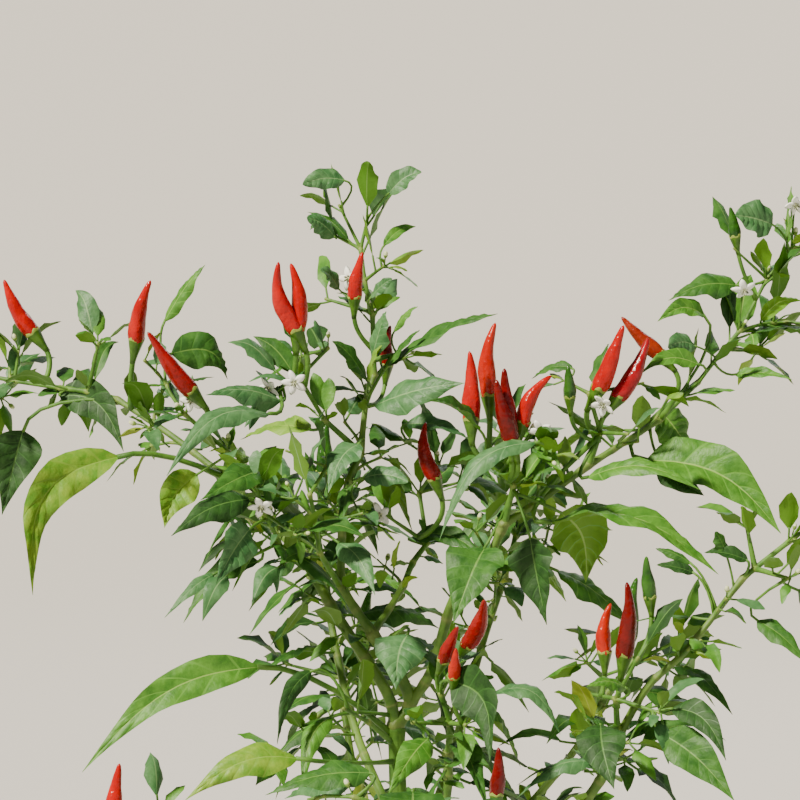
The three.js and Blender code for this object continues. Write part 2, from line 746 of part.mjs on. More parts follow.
// A mass of foliage: its twigs, with every leaf, fruit and flower that finds room fused on
function growMass(plan, limbs, placed) {
  const bough = limbs.find((limb) => limb.name === plan.from);
  const random = seededRandom(plan.seed);
  const neighbours = [...placed.limbs, ...placed.masses];
  const { root, nodes, twigs, skipped } = growTwigs(plan, bough, limbs, neighbours);
  const parts = [...twigs];
  const grown = [];
  const addIfClear = (solid, label) => {
    if (runsInto(solid, neighbours)) {
      skipped.push(label);
      return;
    }
    grown.push(withBox(solid));
    parts.push(solid);
  };
  plan.fruits.forEach((ends, order) => {
    const base = vector(ends[0]);
    const tip = vector(ends[1]);
    const below = base.clone().addScaledVector(between(base, tip).normalize(), -14);
    const node = nearestNode(nodes.slice(1), below);
    addIfClear(fruitSolid({ root: takeRoot(node), base, tip }), `fruit ${order}`);
  });
  plan.flowers.forEach((place, order) => {
    const centre = vector(place);
    const node = nearestNode(nodes.slice(1), centre);
    addIfClear(flowerSolid({ root: takeRoot(node), centre }), `flower ${order}`);
  });
  plan.leaves.forEach((ends, order) => {
    addIfClear(leafSolid(namedLeaf(nodes, ends)), `named leaf ${order}`);
  });
  growLeaves(plan, nodes, random).forEach((leaf, order) => {
    const solid = leafSolid(leaf);
    if (clearOfLimbs(leafPlaces(leaf), limbs, root) && !runsInto(solid, grown)) {
      addIfClear(solid, `leaf ${order}`);
    } else skipped.push(`leaf ${order} has no room`);
  });
  let mass = parts[0];
  parts.slice(1).forEach((part) => {
    mass = mass.add(part);
  });
  placed.limbs.forEach((limb) => {
    if (boxesMeet(mass.boundingBox(), limb.box)) mass = mass.subtract(limb.solid);
  });
  return { solid: mainBody(mass.simplify(meshTolerance)), skipped };
}

function toMesh(name, solid, colour, roughness) {
  const { vertProperties, triVerts } = solid.getMesh();
  const geometry = new THREE.BufferGeometry();
  geometry.setAttribute('position', new THREE.BufferAttribute(vertProperties, 3));
  geometry.setIndex(new THREE.BufferAttribute(triVerts, 1));
  geometry.computeVertexNormals();
  const mesh = new THREE.Mesh(geometry, new THREE.MeshStandardMaterial({ color: colour, roughness }));
  mesh.name = name;
  return mesh;
}

const plant = new THREE.Group();
plant.userData.skipped = {};
const limbs = limbPlans.map(layLimb);
const placed = { limbs: [], masses: [] };

limbs.forEach((limb) => {
  let solid = limbSolid(limb, 0);
  placed.limbs.forEach((earlier) => {
    if (boxesMeet(solid.boundingBox(), earlier.box)) solid = solid.subtract(earlier.solid);
  });
  placed.limbs.push(withBox(limbSolid(limb, seat)));
  const colour = limb.name === 'trunk' ? colours.wood : colours.stem;
  plant.add(toMesh(limb.name, mainBody(solid), colour, 0.75));
});

massPlans.forEach((plan) => {
  const { solid, skipped } = growMass(plan, limbs, placed);
  placed.masses.push(withBox(solid));
  plant.userData.skipped[plan.name] = skipped;
  plant.add(toMesh(plan.name, solid, colours.foliage, 0.55));
});

export default plant;
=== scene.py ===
# A bird's-eye chilli bush rooted in the ground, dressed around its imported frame.
# Plans and shapes are in millimetres, and a mesh turns them into metres when it is made.
import math

import bpy
import numpy as np
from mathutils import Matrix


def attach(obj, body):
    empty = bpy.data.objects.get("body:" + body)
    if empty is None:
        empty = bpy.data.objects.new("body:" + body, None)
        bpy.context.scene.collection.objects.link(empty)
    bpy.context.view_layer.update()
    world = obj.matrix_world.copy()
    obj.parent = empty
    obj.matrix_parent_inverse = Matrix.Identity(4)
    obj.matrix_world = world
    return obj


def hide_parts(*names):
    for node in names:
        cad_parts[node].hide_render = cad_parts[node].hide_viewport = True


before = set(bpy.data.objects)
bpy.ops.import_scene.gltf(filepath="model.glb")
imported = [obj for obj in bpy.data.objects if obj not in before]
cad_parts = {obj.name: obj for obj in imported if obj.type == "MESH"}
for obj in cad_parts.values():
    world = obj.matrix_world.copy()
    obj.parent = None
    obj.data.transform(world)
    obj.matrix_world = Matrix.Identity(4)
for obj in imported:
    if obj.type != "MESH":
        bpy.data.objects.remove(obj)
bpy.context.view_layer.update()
print("frame loaded:", len(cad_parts), "solids")

up = np.array([0.0, 0.0, 1.0])
millimetre = 0.001

# The trunk and the boughs: each one's radii at its start and tip, and the points of its bends
limbPlans = [
    {
        "name": "trunk", "radii": [6, 4.1],
        "points": [[0, 0, 0], [2, 1, 70], [3, 3, 140], [0, 2, 215], [-2, 0, 286]],
    },
    {
        "name": "bough_left", "bare": 0.7, "radii": [3, 2.6],
        "points": [[-2, 0, 286], [-8, -2, 305], [-30, 2, 338], [-50, 14, 371]],
    },
    {
        "name": "bough_left_upper", "radii": [2.6, 2.1],
        "points": [[-50, 14, 371], [-70, 26, 389], [-90, 36, 408]],
    },
    {
        "name": "bough_left_arm", "radii": [1.9, 1.4],
        "points": [[-90, 36, 408], [-118, 54, 427], [-147, 72, 444]],
    },
    {
        "name": "bough_centre", "bare": 0.85, "radii": [3.4, 2.7],
        "points": [[-2, 0, 286], [5, 2, 296], [0, 0, 311], [-14, -4, 333]],
    },
    {
        "name": "bough_right", "bare": 0.6, "radii": [2.7, 2],
        "points": [[5, 2, 296], [16, 0, 314], [27, -8, 351], [40, -12, 364], [52, -18, 390]],
    },
    {
        "name": "bough_right_arm", "radii": [1.9, 1.7],
        "points": [[52, -18, 390], [70, -12, 401], [95, 4, 417]],
    },
    {
        "name": "bough_right_outer", "radii": [1.7, 1.5],
        "points": [[95, 4, 417], [114, 12, 428], [132, 26, 438]],
    },
    {
        "name": "bough_middle", "bare": 0.85, "radii": [2.4, 2.2],
        "points": [[-14, -4, 333], [-22, -2, 344], [-30, 0, 356]],
    },
    {"name": "bough_upper", "radii": [2, 1.7], "points": [[-30, 0, 356], [-28, 10, 399], [-20, 16, 422]]},
    {"name": "bough_top", "radii": [1.6, 1.4], "points": [[-20, 16, 422], [-17, 24, 448], [-13, 28, 460]]},
    {
        "name": "bough_inner", "bare": 0.85, "radii": [2, 1.6],
        "points": [[-14, -4, 333], [-6, 6, 343], [2, 20, 354]],
    },
    {
        "name": "bough_second", "bare": 0.7, "radii": [2.5, 2.1],
        "points": [[3, 3, 170], [14, -14, 212], [23, -29, 254], [24, -36, 278]],
    },
    {
        "name": "bough_low_right", "bare": 0.5, "radii": [2.9, 2.2],
        "points": [[3, 3, 145], [46, -24, 192], [97, -50, 265], [106, -62, 291]],
    },
    {
        "name": "bough_low_right_outer", "bare": 0.6, "radii": [2, 1.4],
        "points": [[106, -62, 291], [120, -70, 317], [139, -72, 336], [166, -64, 369]],
    },
    {
        "name": "bough_low_left", "radii": [2.6, 1.7],
        "points": [[3, 3, 125], [-38, -12, 158], [-86, -28, 205], [-122, -34, 236]],
    },
    {
        "name": "bough_low_front", "radii": [2.5, 1.7],
        "points": [[2, 2, 108], [10, -46, 144], [16, -84, 194], [8, -100, 240]],
    },
    {
        "name": "bough_low_back", "radii": [2.6, 1.8],
        "points": [[3, 3, 155], [2, 52, 190], [-22, 98, 236], [-30, 118, 272]],
    },
    {
        "name": "bough_low_side", "radii": [2.4, 1.7],
        "points": [[3, 3, 182], [42, 30, 212], [88, 58, 258], [108, 66, 290]],
    },
    {
        "name": "bough_back_right", "radii": [2.5, 1.7],
        "points": [[1, 2, 200], [24, 44, 252], [42, 88, 308], [56, 112, 346]],
    },
    {
        "name": "bough_back_left", "radii": [2.4, 1.7],
        "points": [[0, 2, 230], [-22, 54, 270], [-36, 104, 318], [-40, 122, 346]],
    },
]

# The masses of "foliage": the bough that each one grows on from, the places that its shoots
# reach in turn, its mature leaf's length, and its own conspicuous leaves, fruits and flowers.
# A leaf's base and tip may be followed by its width as a share of its length, its turn about its
# midline, the bow of its midline, where its stalk comes from, its tone and whether it is blunt,
# and a fruit's kind by the bow of its own midline. Lush is the share of nodes with finer growth
massPlans = [
    {
        "name": "foliage_left_tip", "from": "bough_left_arm", "seed": 11, "leaf": 46,
        "shoots": [[-178, 84, 449], [-226, 98, 456], [-156, 66, 474], [-200, 90, 468], [-212, 120, 440]],
        "leaves": [
            [[-197, 80, 427], [-208, 76, 383],
             {"share": 0.55, "turn": 1.3, "bow": [2, 0, 0], "root": [-165, 80, 440]}],
            [[-178, 84, 445], [-143, 60, 418],
             {"share": 0.4, "turn": 1.2, "bow": [3, 0, 5], "tone": "shade"}],
        ],
        "fruits": [
            [[-192, 94, 476], [-208, 96, 505], "scarlet", [-2.2, 0, -1.3]],
            [[-136, 56, 475], [-128, 52, 507], "scarlet", [-1, 0, 0]],
        ],
    },
    {
        "name": "foliage_left_inner", "from": "bough_left_upper", "seed": 23, "leaf": 44,
        "shoots": [[-87, 26, 421], [-109, 14, 442], [-120, 38, 470], [-126, 0, 436]],
        "leaves": [
            [[-142, 14, 420], [-182, -24, 355],
             {"share": 0.25, "turn": 1.1, "bow": [-14, 0, 4], "root": [-90, 34, 407], "tone": "sunny"}],
            [[-116, 30, 471], [-88, 40, 457],
             {"share": 0.6, "turn": 1.3, "bow": [5, 0, 4], "tone": "mature"}],
            [[-120, 40, 487], [-99, 36, 516], {"share": 0.25, "turn": 0.9, "tone": "fresh"}],
            [[-103, 24, 410], [-119, 14, 384],
             {"share": 0.58, "turn": 1.2, "bow": [-4, 0, 0], "tone": "sunny"}],
        ],
        "fruits": [[[-104, 6, 453], [-126, 0, 484], "red", [-1, 0, -1]]],
        "flowers": [[-105, 10, 449]],
    },
    {
        "name": "foliage_left_shoot", "from": "bough_left", "seed": 37, "leaf": 46, "lush": 0.7,
        "shoots": [[-57, -18, 372], [-66, -44, 398], [-70, -60, 414], [-84, -50, 372], [-50, -66, 390]],
        "leaves": [
            [[-73, -50, 406], [-110, -76, 391], {"share": 0.34, "turn": 0.8}],
            [[-73, -56, 392], [-88, -84, 369], {"share": 0.5, "turn": 1.2, "tone": "waxy"}],
            [[-91, -50, 369], [-114, -66, 350], {"share": 0.2, "turn": 0.7}],
            [[-67, -50, 420], [-95, -90, 410]],
        ],
        "flowers": [[-67, -66, 404]],
    },
    {
        "name": "foliage_centre_left", "from": "bough_middle", "seed": 41, "leaf": 44, "lush": 0.7,
        "shoots": [[-40, -22, 376], [-44, -50, 408], [-36, -34, 420], [-18, -42, 398], [-56, -34, 428]],
        "leaves": [
            [[-30, -46, 384], [-12, -74, 362]],
            [[-20, -30, 431], [-35, -50, 409], {"share": 0.5, "turn": 0.2, "tone": "waxy"}],
            [[-18, -20, 413], [4, -30, 412], {"share": 0.5, "turn": 0.9, "blunt": True, "tone": "waxy"}],
        ],
    },
    {
        "name": "foliage_centre_top", "from": "bough_upper", "seed": 53, "leaf": 46,
        "shoots": [[-38, 2, 440], [-50, -12, 462], [-64, -6, 455], [-36, 0, 476], [-50, 22, 470]],
        "leaves": [
            [[-64, -32, 446], [-112, -76, 420], {"share": 0.22, "turn": 0.45, "bow": [0, 0, 6]}],
            [[-59, -16, 451], [-95, -40, 456], {"share": 0.36, "turn": 0.7, "tone": "waxy"}],
            [[-45, 10, 434], [-82, 40, 426], {"share": 0.3, "turn": 0.5, "tone": "young"}],
        ],
        "fruits": [
            [[-51, -16, 485], [-60, -20, 520], "scarlet", [-3, 0, -0.5]],
            [[-51, -15, 485], [-54, -13, 519], "scarlet", [2, 0, 0]],
        ],
        "flowers": [[-52, -26, 461], [-65, -10, 457]],
    },
    {
        "name": "foliage_top", "from": "bough_top", "seed": 67, "leaf": 40, "lush": 0.5,
        "shoots": [
            [-14, 30, 492], [-20, 36, 524], [-31, 40, 546], [-16, 36, 541], [-36, 42, 532], [-8, 24, 516],
            [-1, 16, 472], [-38, 44, 498],
        ],
        "leaves": [
            [[-5, 20, 466], [49, 4, 493], {"share": 0.28, "turn": 0.35, "tone": "mature"}],
            [[-13, 14, 446], [32, -6, 459], {"share": 0.4, "turn": 0.9, "tone": "waxy"}],
            [[-28, 28, 559], [-49, 20, 557], {"share": 0.5, "turn": 1.2, "blunt": True, "tone": "waxy"}],
            [[-6, 32, 552], [11, 30, 563], {"share": 0.55, "turn": 1.2, "blunt": True, "tone": "waxy"}],
            [[-33, 34, 530], [-47, 24, 540], {"share": 0.6, "turn": 1.2, "blunt": True, "tone": "waxy"}],
            [[-8, 30, 526], [8, 44, 535], {"share": 0.25, "turn": 0.8}],
            [[-15, 22, 500], [-4, 16, 510], {"share": 0.4, "turn": 1.2, "blunt": True}],
            [[-31, 26, 504], [-40, 18, 514], {"share": 0.6, "turn": 1.2, "blunt": True, "tone": "waxy"}],
            [[-14, 16, 470], [-7, 10, 494], {"share": 0.52, "turn": 1.3, "tone": "waxy"}],
            [[-17, 17, 459], [-34, 8, 479],
             {"share": 0.42, "turn": 1.0, "root": [-15, 26, 455], "tone": "mature"}],
            [[-16, 14, 457], [-9, 6, 477],
             {"share": 0.34, "turn": 1.1, "root": [-16, 25, 452], "tone": "young"}],
            [[-6, 14, 466], [10, 4, 485], {"share": 0.24, "turn": 0.8, "tone": "mature"}],
            [[-3, 20, 483], [9, 16, 496], {"share": 0.3, "turn": 0.8, "tone": "fresh"}],
        ],
        "fruits": [
            [[-23, 22, 499], [-19, 20, 523], "scarlet", [-1.5, 0, 0]],
            [[-7, 50, 462], [-5, 51, 484], "darkRed"],
        ],
        "flowers": [[-26, 34, 509]],
    },
    {
        "name": "foliage_centre_right", "from": "bough_inner", "seed": 79, "leaf": 46,
        "shoots": [
            [14, 46, 372], [10, 66, 396], [20, 54, 412], [-8, 38, 388], [34, 66, 402], [4, 46, 424],
        ],
        "leaves": [[[3, 40, 434], [36, 30, 427]], [[5, 50, 374], [43, 30, 366]]],
        "fruits": [[[18, 30, 406], [13, 30, 436], "red", [-2.5, 0, -0.5]]],
        "flowers": [[-10, 26, 389]],
    },
    {
        "name": "foliage_right_fork", "from": "bough_right", "seed": 83, "leaf": 44,
        "shoots": [[56, -26, 410], [40, -30, 424], [62, -32, 432], [50, -12, 434], [72, -42, 426]],
        "leaves": [
            [[66, -52, 434], [19, -68, 388],
             {"share": 0.19, "turn": 0.5, "bow": [-6, 0, 6], "tone": "waxy"}],
            [[64, -36, 385], [72, -44, 343], {"share": 0.55, "turn": 1.4, "tone": "shade"}],
            [[80, -14, 395], [94, 14, 356],
             {"share": 0.62, "turn": -0.6, "bow": [5, 0, 2], "tone": "fresh"}],
            [[39, -40, 439], [14, -60, 455]],
            [[42, -20, 378], [26, -46, 344], {"share": 0.65, "turn": 0.2, "tone": "mature"}],
        ],
        "fruits": [
            [[35, -34, 442], [34, -34, 477], "scarlet"],
            [[44, -22, 453], [47, -20, 490], "orange", [-2, 0, 0]],
            [[54, -41, 434], [51, -40, 469], "darkRed"], [[55, -43, 433], [47, -47, 464], "darkRed"],
            [[60, -36, 441], [74, -34, 465], "scarlet", [-3, 0, 2]],
        ],
        "flowers": [[69, -38, 438]],
    },
    {
        "name": "foliage_right_mid", "from": "bough_right_arm", "seed": 97, "leaf": 44,
        "shoots": [[100, -4, 434], [94, -8, 454], [122, 6, 458], [82, -4, 460], [112, -32, 436]],
        "leaves": [
            [[74, -30, 392], [156, -44, 368],
             {"share": 0.28, "turn": 0.25, "bow": [0, 0, 5], "tone": "fresh"}],
            [[93, -18, 413], [148, -42, 409],
             {"share": 0.22, "turn": 0.6, "bow": [0, 0, 4], "tone": "fresh"}],
            [[86, -2, 466], [66, 8, 460]],
            [[132, 14, 417], [153, 8, 401],
             {"share": 0.6, "turn": 1.1, "bow": [-2, 0, -2], "root": [126, 22, 434], "tone": "shade"}],
        ],
        "fruits": [
            [[98, -8, 455], [111, -10, 488], "scarlet", [1.5, 0, -0.5]],
            [[108, -4, 451], [124, 0, 481], "crimson", [2, 0, -1]],
            [[132, 20, 470], [112, 24, 490], "russet"], [[84, -18, 452], [83, -20, 469], "green"],
        ],
        "flowers": [[101, -14, 449]],
    },
    {
        "name": "foliage_right_tip", "from": "bough_right_outer", "seed": 103, "leaf": 44, "lush": 0.6,
        "shoots": [
            [152, 36, 456], [174, 44, 482], [188, 50, 508], [202, 56, 524], [170, 40, 524],
            [228, 66, 514], [214, 62, 480], [186, 74, 468], [234, 60, 468],
        ],
        "leaves": [
            [[124, 8, 419], [190, -10, 384],
             {"share": 0.36, "turn": 0.9, "bow": [4, 0, 3], "tone": "fresh"}],
            [[134, 34, 440], [151, 38, 415],
             {"share": 0.7, "turn": 1.2, "root": [128, 26, 437], "tone": "fresh"}],
            [[172, 44, 505], [136, 30, 498], {"share": 0.4, "turn": 0.8}],
            [[190, 44, 536], [170, 34, 541], {"share": 0.85, "turn": 1.2, "blunt": True, "tone": "waxy"}],
            [[185, 46, 487], [204, 30, 498], {"share": 0.3, "turn": -1.0, "tone": "fresh"}],
            [[155, 36, 490], [130, 20, 488],
             {"share": 0.36, "turn": 1.0, "bow": [0, 0, 4], "root": [166, 36, 483], "tone": "fresh"}],
            [[150, 28, 475], [135, 16, 475], {"share": 0.6, "turn": 1.2, "blunt": True, "tone": "waxy"}],
            [[150, 14, 467], [120, 0, 463], {"share": 0.3, "turn": 1.0, "tone": "fresh"}],
            [[172, 46, 459], [199, 28, 458], {"share": 0.25, "turn": 0.7, "tone": "fresh"}],
        ],
        "fruits": [[[171, 42, 529], [168, 41, 545], "green"]],
        "flowers": [[202, 48, 546], [175, 36, 503]],
    },
    {
        "name": "foliage_low_right", "from": "bough_low_right", "seed": 113, "leaf": 46, "lush": 0.5,
        "shoots": [[104, -76, 312], [124, -92, 308], [94, -88, 298], [114, -88, 334], [90, -60, 312]],
        "leaves": [
            [[96, -90, 302], [101, -118, 276], {"share": 0.62, "turn": 0.3, "tone": "shade"}],
            [[130, -92, 310], [154, -114, 289],
             {"share": 0.36, "turn": 0.8, "bow": [4, 0, 5], "tone": "shade"}],
            [[108, -92, 320], [88, -112, 324]],
            [[126, -96, 298], [158, -116, 270], {"share": 0.42, "turn": 1.0, "tone": "mature"}],
        ],
        "fruits": [
            [[99, -68, 332], [102, -66, 357], "orange", [-1.5, 0, 0]],
            [[108, -76, 332], [109, -78, 369], "darkRed", [2, 0, 0]],
            [[120, -80, 361], [118, -82, 382], "green"],
        ],
    },
    {
        "name": "foliage_low_right_tip", "from": "bough_low_right_outer", "seed": 127, "leaf": 46,
        "shoots": [[190, -58, 387], [216, -50, 404], [168, -60, 394], [218, -66, 378], [186, -88, 372]],
        "leaves": [
            [[172, -76, 350], [196, -90, 330]],
            [[193, -64, 363], [224, -62, 340], {"share": 0.5, "turn": 0.9, "tone": "shade"}],
            [[168, -66, 378], [147, -68, 382],
             {"share": 0.34, "turn": 0.9, "root": [164, -65, 367], "tone": "shade"}],
            [[158, -66, 380], [152, -68, 392],
             {"share": 0.6, "turn": 1.2, "blunt": True, "root": [162, -65, 364], "tone": "mature"}],
            [[142, -66, 372], [124, -68, 376],
             {"share": 0.34, "turn": 0.9, "root": [152, -69, 352], "tone": "shade"}],
            [[141, -62, 376], [124, -60, 383],
             {"share": 0.3, "turn": 0.8, "root": [153, -68, 354], "tone": "mature"}],
        ],
    },
    {
        "name": "foliage_second", "from": "bough_second", "seed": 131, "leaf": 44,
        "shoots": [[20, -48, 310], [32, -58, 296], [28, -44, 324], [6, -52, 296]],
        "leaves": [
            [[25, -62, 318], [43, -92, 284],
             {"share": 0.5, "turn": 1.2, "bow": [5, 0, 2], "tone": "shade"}],
            [[44, -56, 311], [78, -62, 292], {"share": 0.3, "turn": 0.5, "bow": [3, 0, 6]}],
            [[14, -50, 288], [-6, -84, 266]],
        ],
        "fruits": [
            [[33, -42, 333], [41, -62, 358], "red", [3, 0, -0.5]],
            [[21, -56, 327], [28, -68, 346], "red"],
            [[26, -66, 320], [27, -72, 336], "orange"],
        ],
    },
    {
        "name": "foliage_fork", "from": "trunk", "seed": 139, "leaf": 40, "lush": 0.25,
        "root": [-3, 0, 276], "rootHeading": [-0.7, -0.6, 0.4],
        "shoots": [[-16, -16, 290], [-28, -34, 300]],
        "leaves": [
            [[-70, -30, 320], [-155, -60, 273],
             {"share": 0.18, "turn": 1.1, "bow": [-3, 0, 5], "root": [-9, -4, 279], "tone": "fresh"}],
            [[-34, -24, 294], [-48, -50, 261],
             {"share": 0.26, "turn": 0.3, "bow": [-5, 0, 4], "root": [0, -8, 290], "tone": "fresh"}],
            [[-44, -30, 318], [-60, -56, 286],
             {"share": 0.2, "turn": 0.9, "bow": [-4, 0, 2], "tone": "shade"}],
            [[4, -40, 338], [-2, -62, 314],
             {"share": 0.8, "turn": 0.2, "root": [-10, -4, 325], "tone": "waxy"}],
        ],
    },
    {
        "name": "foliage_low_left", "from": "bough_low_left", "seed": 149, "leaf": 58,
        "shoots": [
            [-142, -34, 228], [-174, -26, 228], [-128, -60, 220], [-150, -4, 218], [-112, -6, 224],
        ],
        "leaves": [
            [[-50, -56, 279], [-104, -74, 262],
             {"share": 0.3, "turn": 0.9, "bow": [0, 0, 4], "root": [-2, 0, 268], "tone": "sunny"}],
            [[-160, -44, 232], [-204, -52, 196]],
        ],
        "fruits": [[[-143, -34, 244], [-139, -32, 272], "scarlet"]],
    },
    {
        "name": "foliage_low_front", "from": "bough_low_front", "seed": 151, "leaf": 60,
        "shoots": [[8, -112, 262], [-22, -116, 272], [38, -104, 262], [4, -144, 258], [-44, -92, 266]],
        "leaves": [
            [[-14, -108, 282], [-64, -112, 272]],
            [[6, -122, 276], [2, -166, 246], {"share": 0.6, "turn": 0.2, "tone": "mature"}],
            [[30, -120, 270], [70, -130, 256]], [[-20, -96, 276], [-56, -70, 262]],
        ],
        "fruits": [[[46, -96, 268], [47, -96, 292], "darkRed"]],
    },
    {
        "name": "foliage_low_back", "from": "bough_low_back", "seed": 163, "leaf": 60, "lush": 0.55,
        "shoots": [[-32, 130, 288], [-62, 140, 294], [0, 146, 286], [-30, 168, 272], [-66, 112, 246]],
        "leaves": [[[-42, 152, 270], [-66, 196, 232]], [[0, 132, 262], [34, 164, 232]]],
        "fruits": [[[-20, 156, 300], [-16, 162, 332], "green"]],
    },
    {
        "name": "foliage_low_side", "from": "bough_low_side", "seed": 167, "leaf": 58,
        "shoots": [[122, 72, 306], [146, 60, 320], [112, 98, 316], [96, 48, 310], [150, 92, 300]],
        "leaves": [[[128, 76, 290], [172, 84, 262]], [[104, 92, 292], [104, 136, 258]]],
        "fruits": [[[120, 74, 318], [124, 76, 350], "green"]],
    },
    {
        "name": "foliage_back_right", "from": "bough_back_right", "seed": 173, "leaf": 54,
        "shoots": [[62, 124, 366], [40, 136, 392], [76, 132, 388], [50, 166, 366], [92, 108, 362]],
        "leaves": [[[66, 140, 352], [92, 182, 322]], [[84, 118, 348], [126, 122, 316]]],
        "fruits": [[[56, 136, 396], [58, 140, 430], "green"]],
    },
    {
        "name": "foliage_back_left", "from": "bough_back_left", "seed": 181, "leaf": 54,
        "shoots": [[-44, 132, 364], [-66, 140, 384], [-24, 148, 388], [-48, 170, 362], [-86, 118, 368]],
        "leaves": [[[-56, 148, 350], [-84, 186, 316]], [[-76, 124, 352], [-116, 116, 320]]],
        "fruits": [[[-42, 146, 396], [-40, 150, 428], "green"]],
    },
]

# What the source's rule for limbs, twigs and leaves goes by
limbRule = {"samples": 201, "faceStep": 30}
twigRule = {
    "internode": 22, "zigzag": 0.09, "leadOn": 0.45, "thinnest": 0.85, "taper": 0.011,
    "forkShare": 0.85, "rootShare": 0.8, "collarShare": 0.25, "riseCost": 0.8, "rootSpacing": 2.4,
    "firstRoot": 0.6, "rootReach": 0.85, "limbClearance": 1.4, "nearRoot": 12,
}
leafRule = {
    "goldenTurn": 2.39996, "turnSpread": 0.5, "matureReach": 75, "matureGrowth": 1.6, "young": 17,
    "atTip": 25, "tipLeaves": 2, "inAxil": 19, "leastSize": 0.8, "sizeSpread": 0.4,
    "along": 0.55, "across": 0.9, "outward": 0.35, "lift": 0.35, "droop": 0.9, "greatestRoll": 0.9,
    "petioleShare": 0.3, "petioleRise": 0.04, "widthShare": 0.42, "namedWidthShare": 0.34,
    "namedRoll": 0.6,
}

# The growth that is finer than the solids: twiglets, tufts of small leaves, leaves that hang and
# buds. A pair is the least and the greatest
fineRule = {
    "twigletLength": (9, 20), "boughTwiglet": (12, 24), "twigletRadius": 0.75, "twigletBend": 0.4,
    "twigletLeaves": 4, "twigletLeaf": (13, 32), "axilLeaves": 2, "axilLeaf": (8, 17),
    "tuftLeaves": 5, "tuftLeaf": (9, 22), "tuftSpread": (-2.5, 1.5), "tipBuds": 2,
    "budShare": 0.35, "budStalk": (4, 8), "budSize": (0.75, 1.15),
    "hangingLeaf": (26, 50), "hangingShare": 0.85, "hangingWidth": (0.24, 0.4),
    "smallWidth": (0.42, 0.6), "longWidth": (0.32, 0.42), "longFrom": 12, "longRange": 20,
    "roll": (-0.5, 0.5), "middleTurn": 2, "axilTurn": 3, "axilStep": 2.5, "hangingTurn": 4.2,
    "bare": 0.34, "boughEnd": 0.99, "boughSpacing": 0.8, "headingStep": 0.02, "boughSeed": 400,
}

# How each kind of fine growth turns out from its twig: so much along it, across it and up
fineTurns = {
    "twiglet": (0.6, 0.75, 0.35), "onTwigletTip": (0.5, 0.9, -0.15), "onTwiglet": (0.3, 0.9, 0.0),
    "inAxil": (0.2, 0.9, 0.2), "hanging": (0.1, 0.8, -0.55), "tuft": (0.45, 0.9, 0.1),
    "bud": (0.7, 0.5, 0.5),
}

# The room that small leaves leave free round the fruit, the named leaves and their long stalks:
# beside them, and in the view from how far behind to how far in front of them
clearRule = {
    "fruitRoom": 5.0, "calyxReach": 12, "leafRoom": 0.22, "stalkRoom": 2.5, "halfLeaf": 0.4,
    "behind": -5, "inFront": 60, "stalkRise": 0.12, "leafArch": 0.1, "stalkStart": 0.1,
    "baseEnd": 0.15, "tipEnd": 0.2,
}
midlineShares = np.array([0.05, 0.35, 0.65, 0.95])

# Where a fruit's stalk comes from: the stem nearest to a place so far back from its base, and so
# far below it. Stems are read at so many places, and shoots not so near to their ends
stemRule = {"back": 14, "below": 12, "samples": 120, "shootEnds": 20}

# How the tones are dealt out: the steps that keep neighbouring sprays apart, the shares of a tone
# that are its spray's and its own, and which small leaves have turned yellow
toneRule = {
    "seedStep": 7, "sprayStep": 5, "sprayTones": 11, "bySpray": 0.6, "byLeaf": 0.4,
    "yellowUnder": 30, "yellowAbove": 0.99,
}

# The bounds of draws that are used in many places: where a wave starts, and a share either way
anyPhase = (0, 6)
eitherWay = (-1, 1)

# A length and a sine's square too small to read a direction from, and a nudge off the upright
tiny = {"length": 1e-9, "square": 0.0001, "nudge": 1e-6}


def unit(vector):
    return vector / np.linalg.norm(vector)


# Many directions at once, where one without a length stays as it is
def units(vectors):
    return vectors / np.maximum(np.linalg.norm(vectors, axis=-1, keepdims=True), tiny["length"])


# The level direction square to a heading, or +X for a heading straight up
def sideOf(heading):
    side = np.cross(heading, up)
    if side @ side < tiny["square"]:
        side = np.array([1.0, 0.0, 0.0])
    return unit(side)


# Two directions square to each of many axes, the first of them level
def squareTo(axes):
    side = np.array([sideOf(axis) for axis in axes])
    return side, np.cross(axes, side)


# The angles of so many corners round a circle
def roundAngles(sides):
    return np.arange(sides) * 2 * math.pi / sides


# One number for each of many shapes, ready to be used on all of its grid
def drawEach(random, bounds, number):
    return random.uniform(*bounds, number)[:, None, None]


# One value of each of many leaves, fruits or flowers
def valuesOf(things, key, missing=None):
    return np.array([thing.get(key, missing) for thing in things])


# A repeatable run of numbers from 0 up to 1, the same as the source's
def seededRandom(seed):
    state = seed

    def draw():
        nonlocal state
        state = (state * 1664525 + 1013904223) % 4294967296
        return state / 4294967296

    return draw


# A Catmull-Rom curve through bends, read at shares of the way along it
def smoothCurve(bends, along):
    bends = np.asarray(bends, float)
    padded = np.vstack([2 * bends[0] - bends[1], bends, 2 * bends[-1] - bends[-2]])
    spot = np.clip(along, 0, 1) * (len(bends) - 1)
    index = np.minimum(spot.astype(int), len(bends) - 2)
    part = (spot - index)[:, None]
    before, start, end, after = (padded[index + step] for step in range(4))
    leave = (end - before) / 2
    arrive = (after - start) / 2
    square = (3 * (end - start) - 2 * leave - arrive) * part ** 2
    cube = (2 * (start - end) + leave + arrive) * part ** 3
    return start + leave * part + square + cube


# A quadratic curve from start to end that leans to control, for one stalk or many at once
def bentCurve(start, control, end, along):
    return (1 - along) ** 2 * start + 2 * along * (1 - along) * control + along ** 2 * end


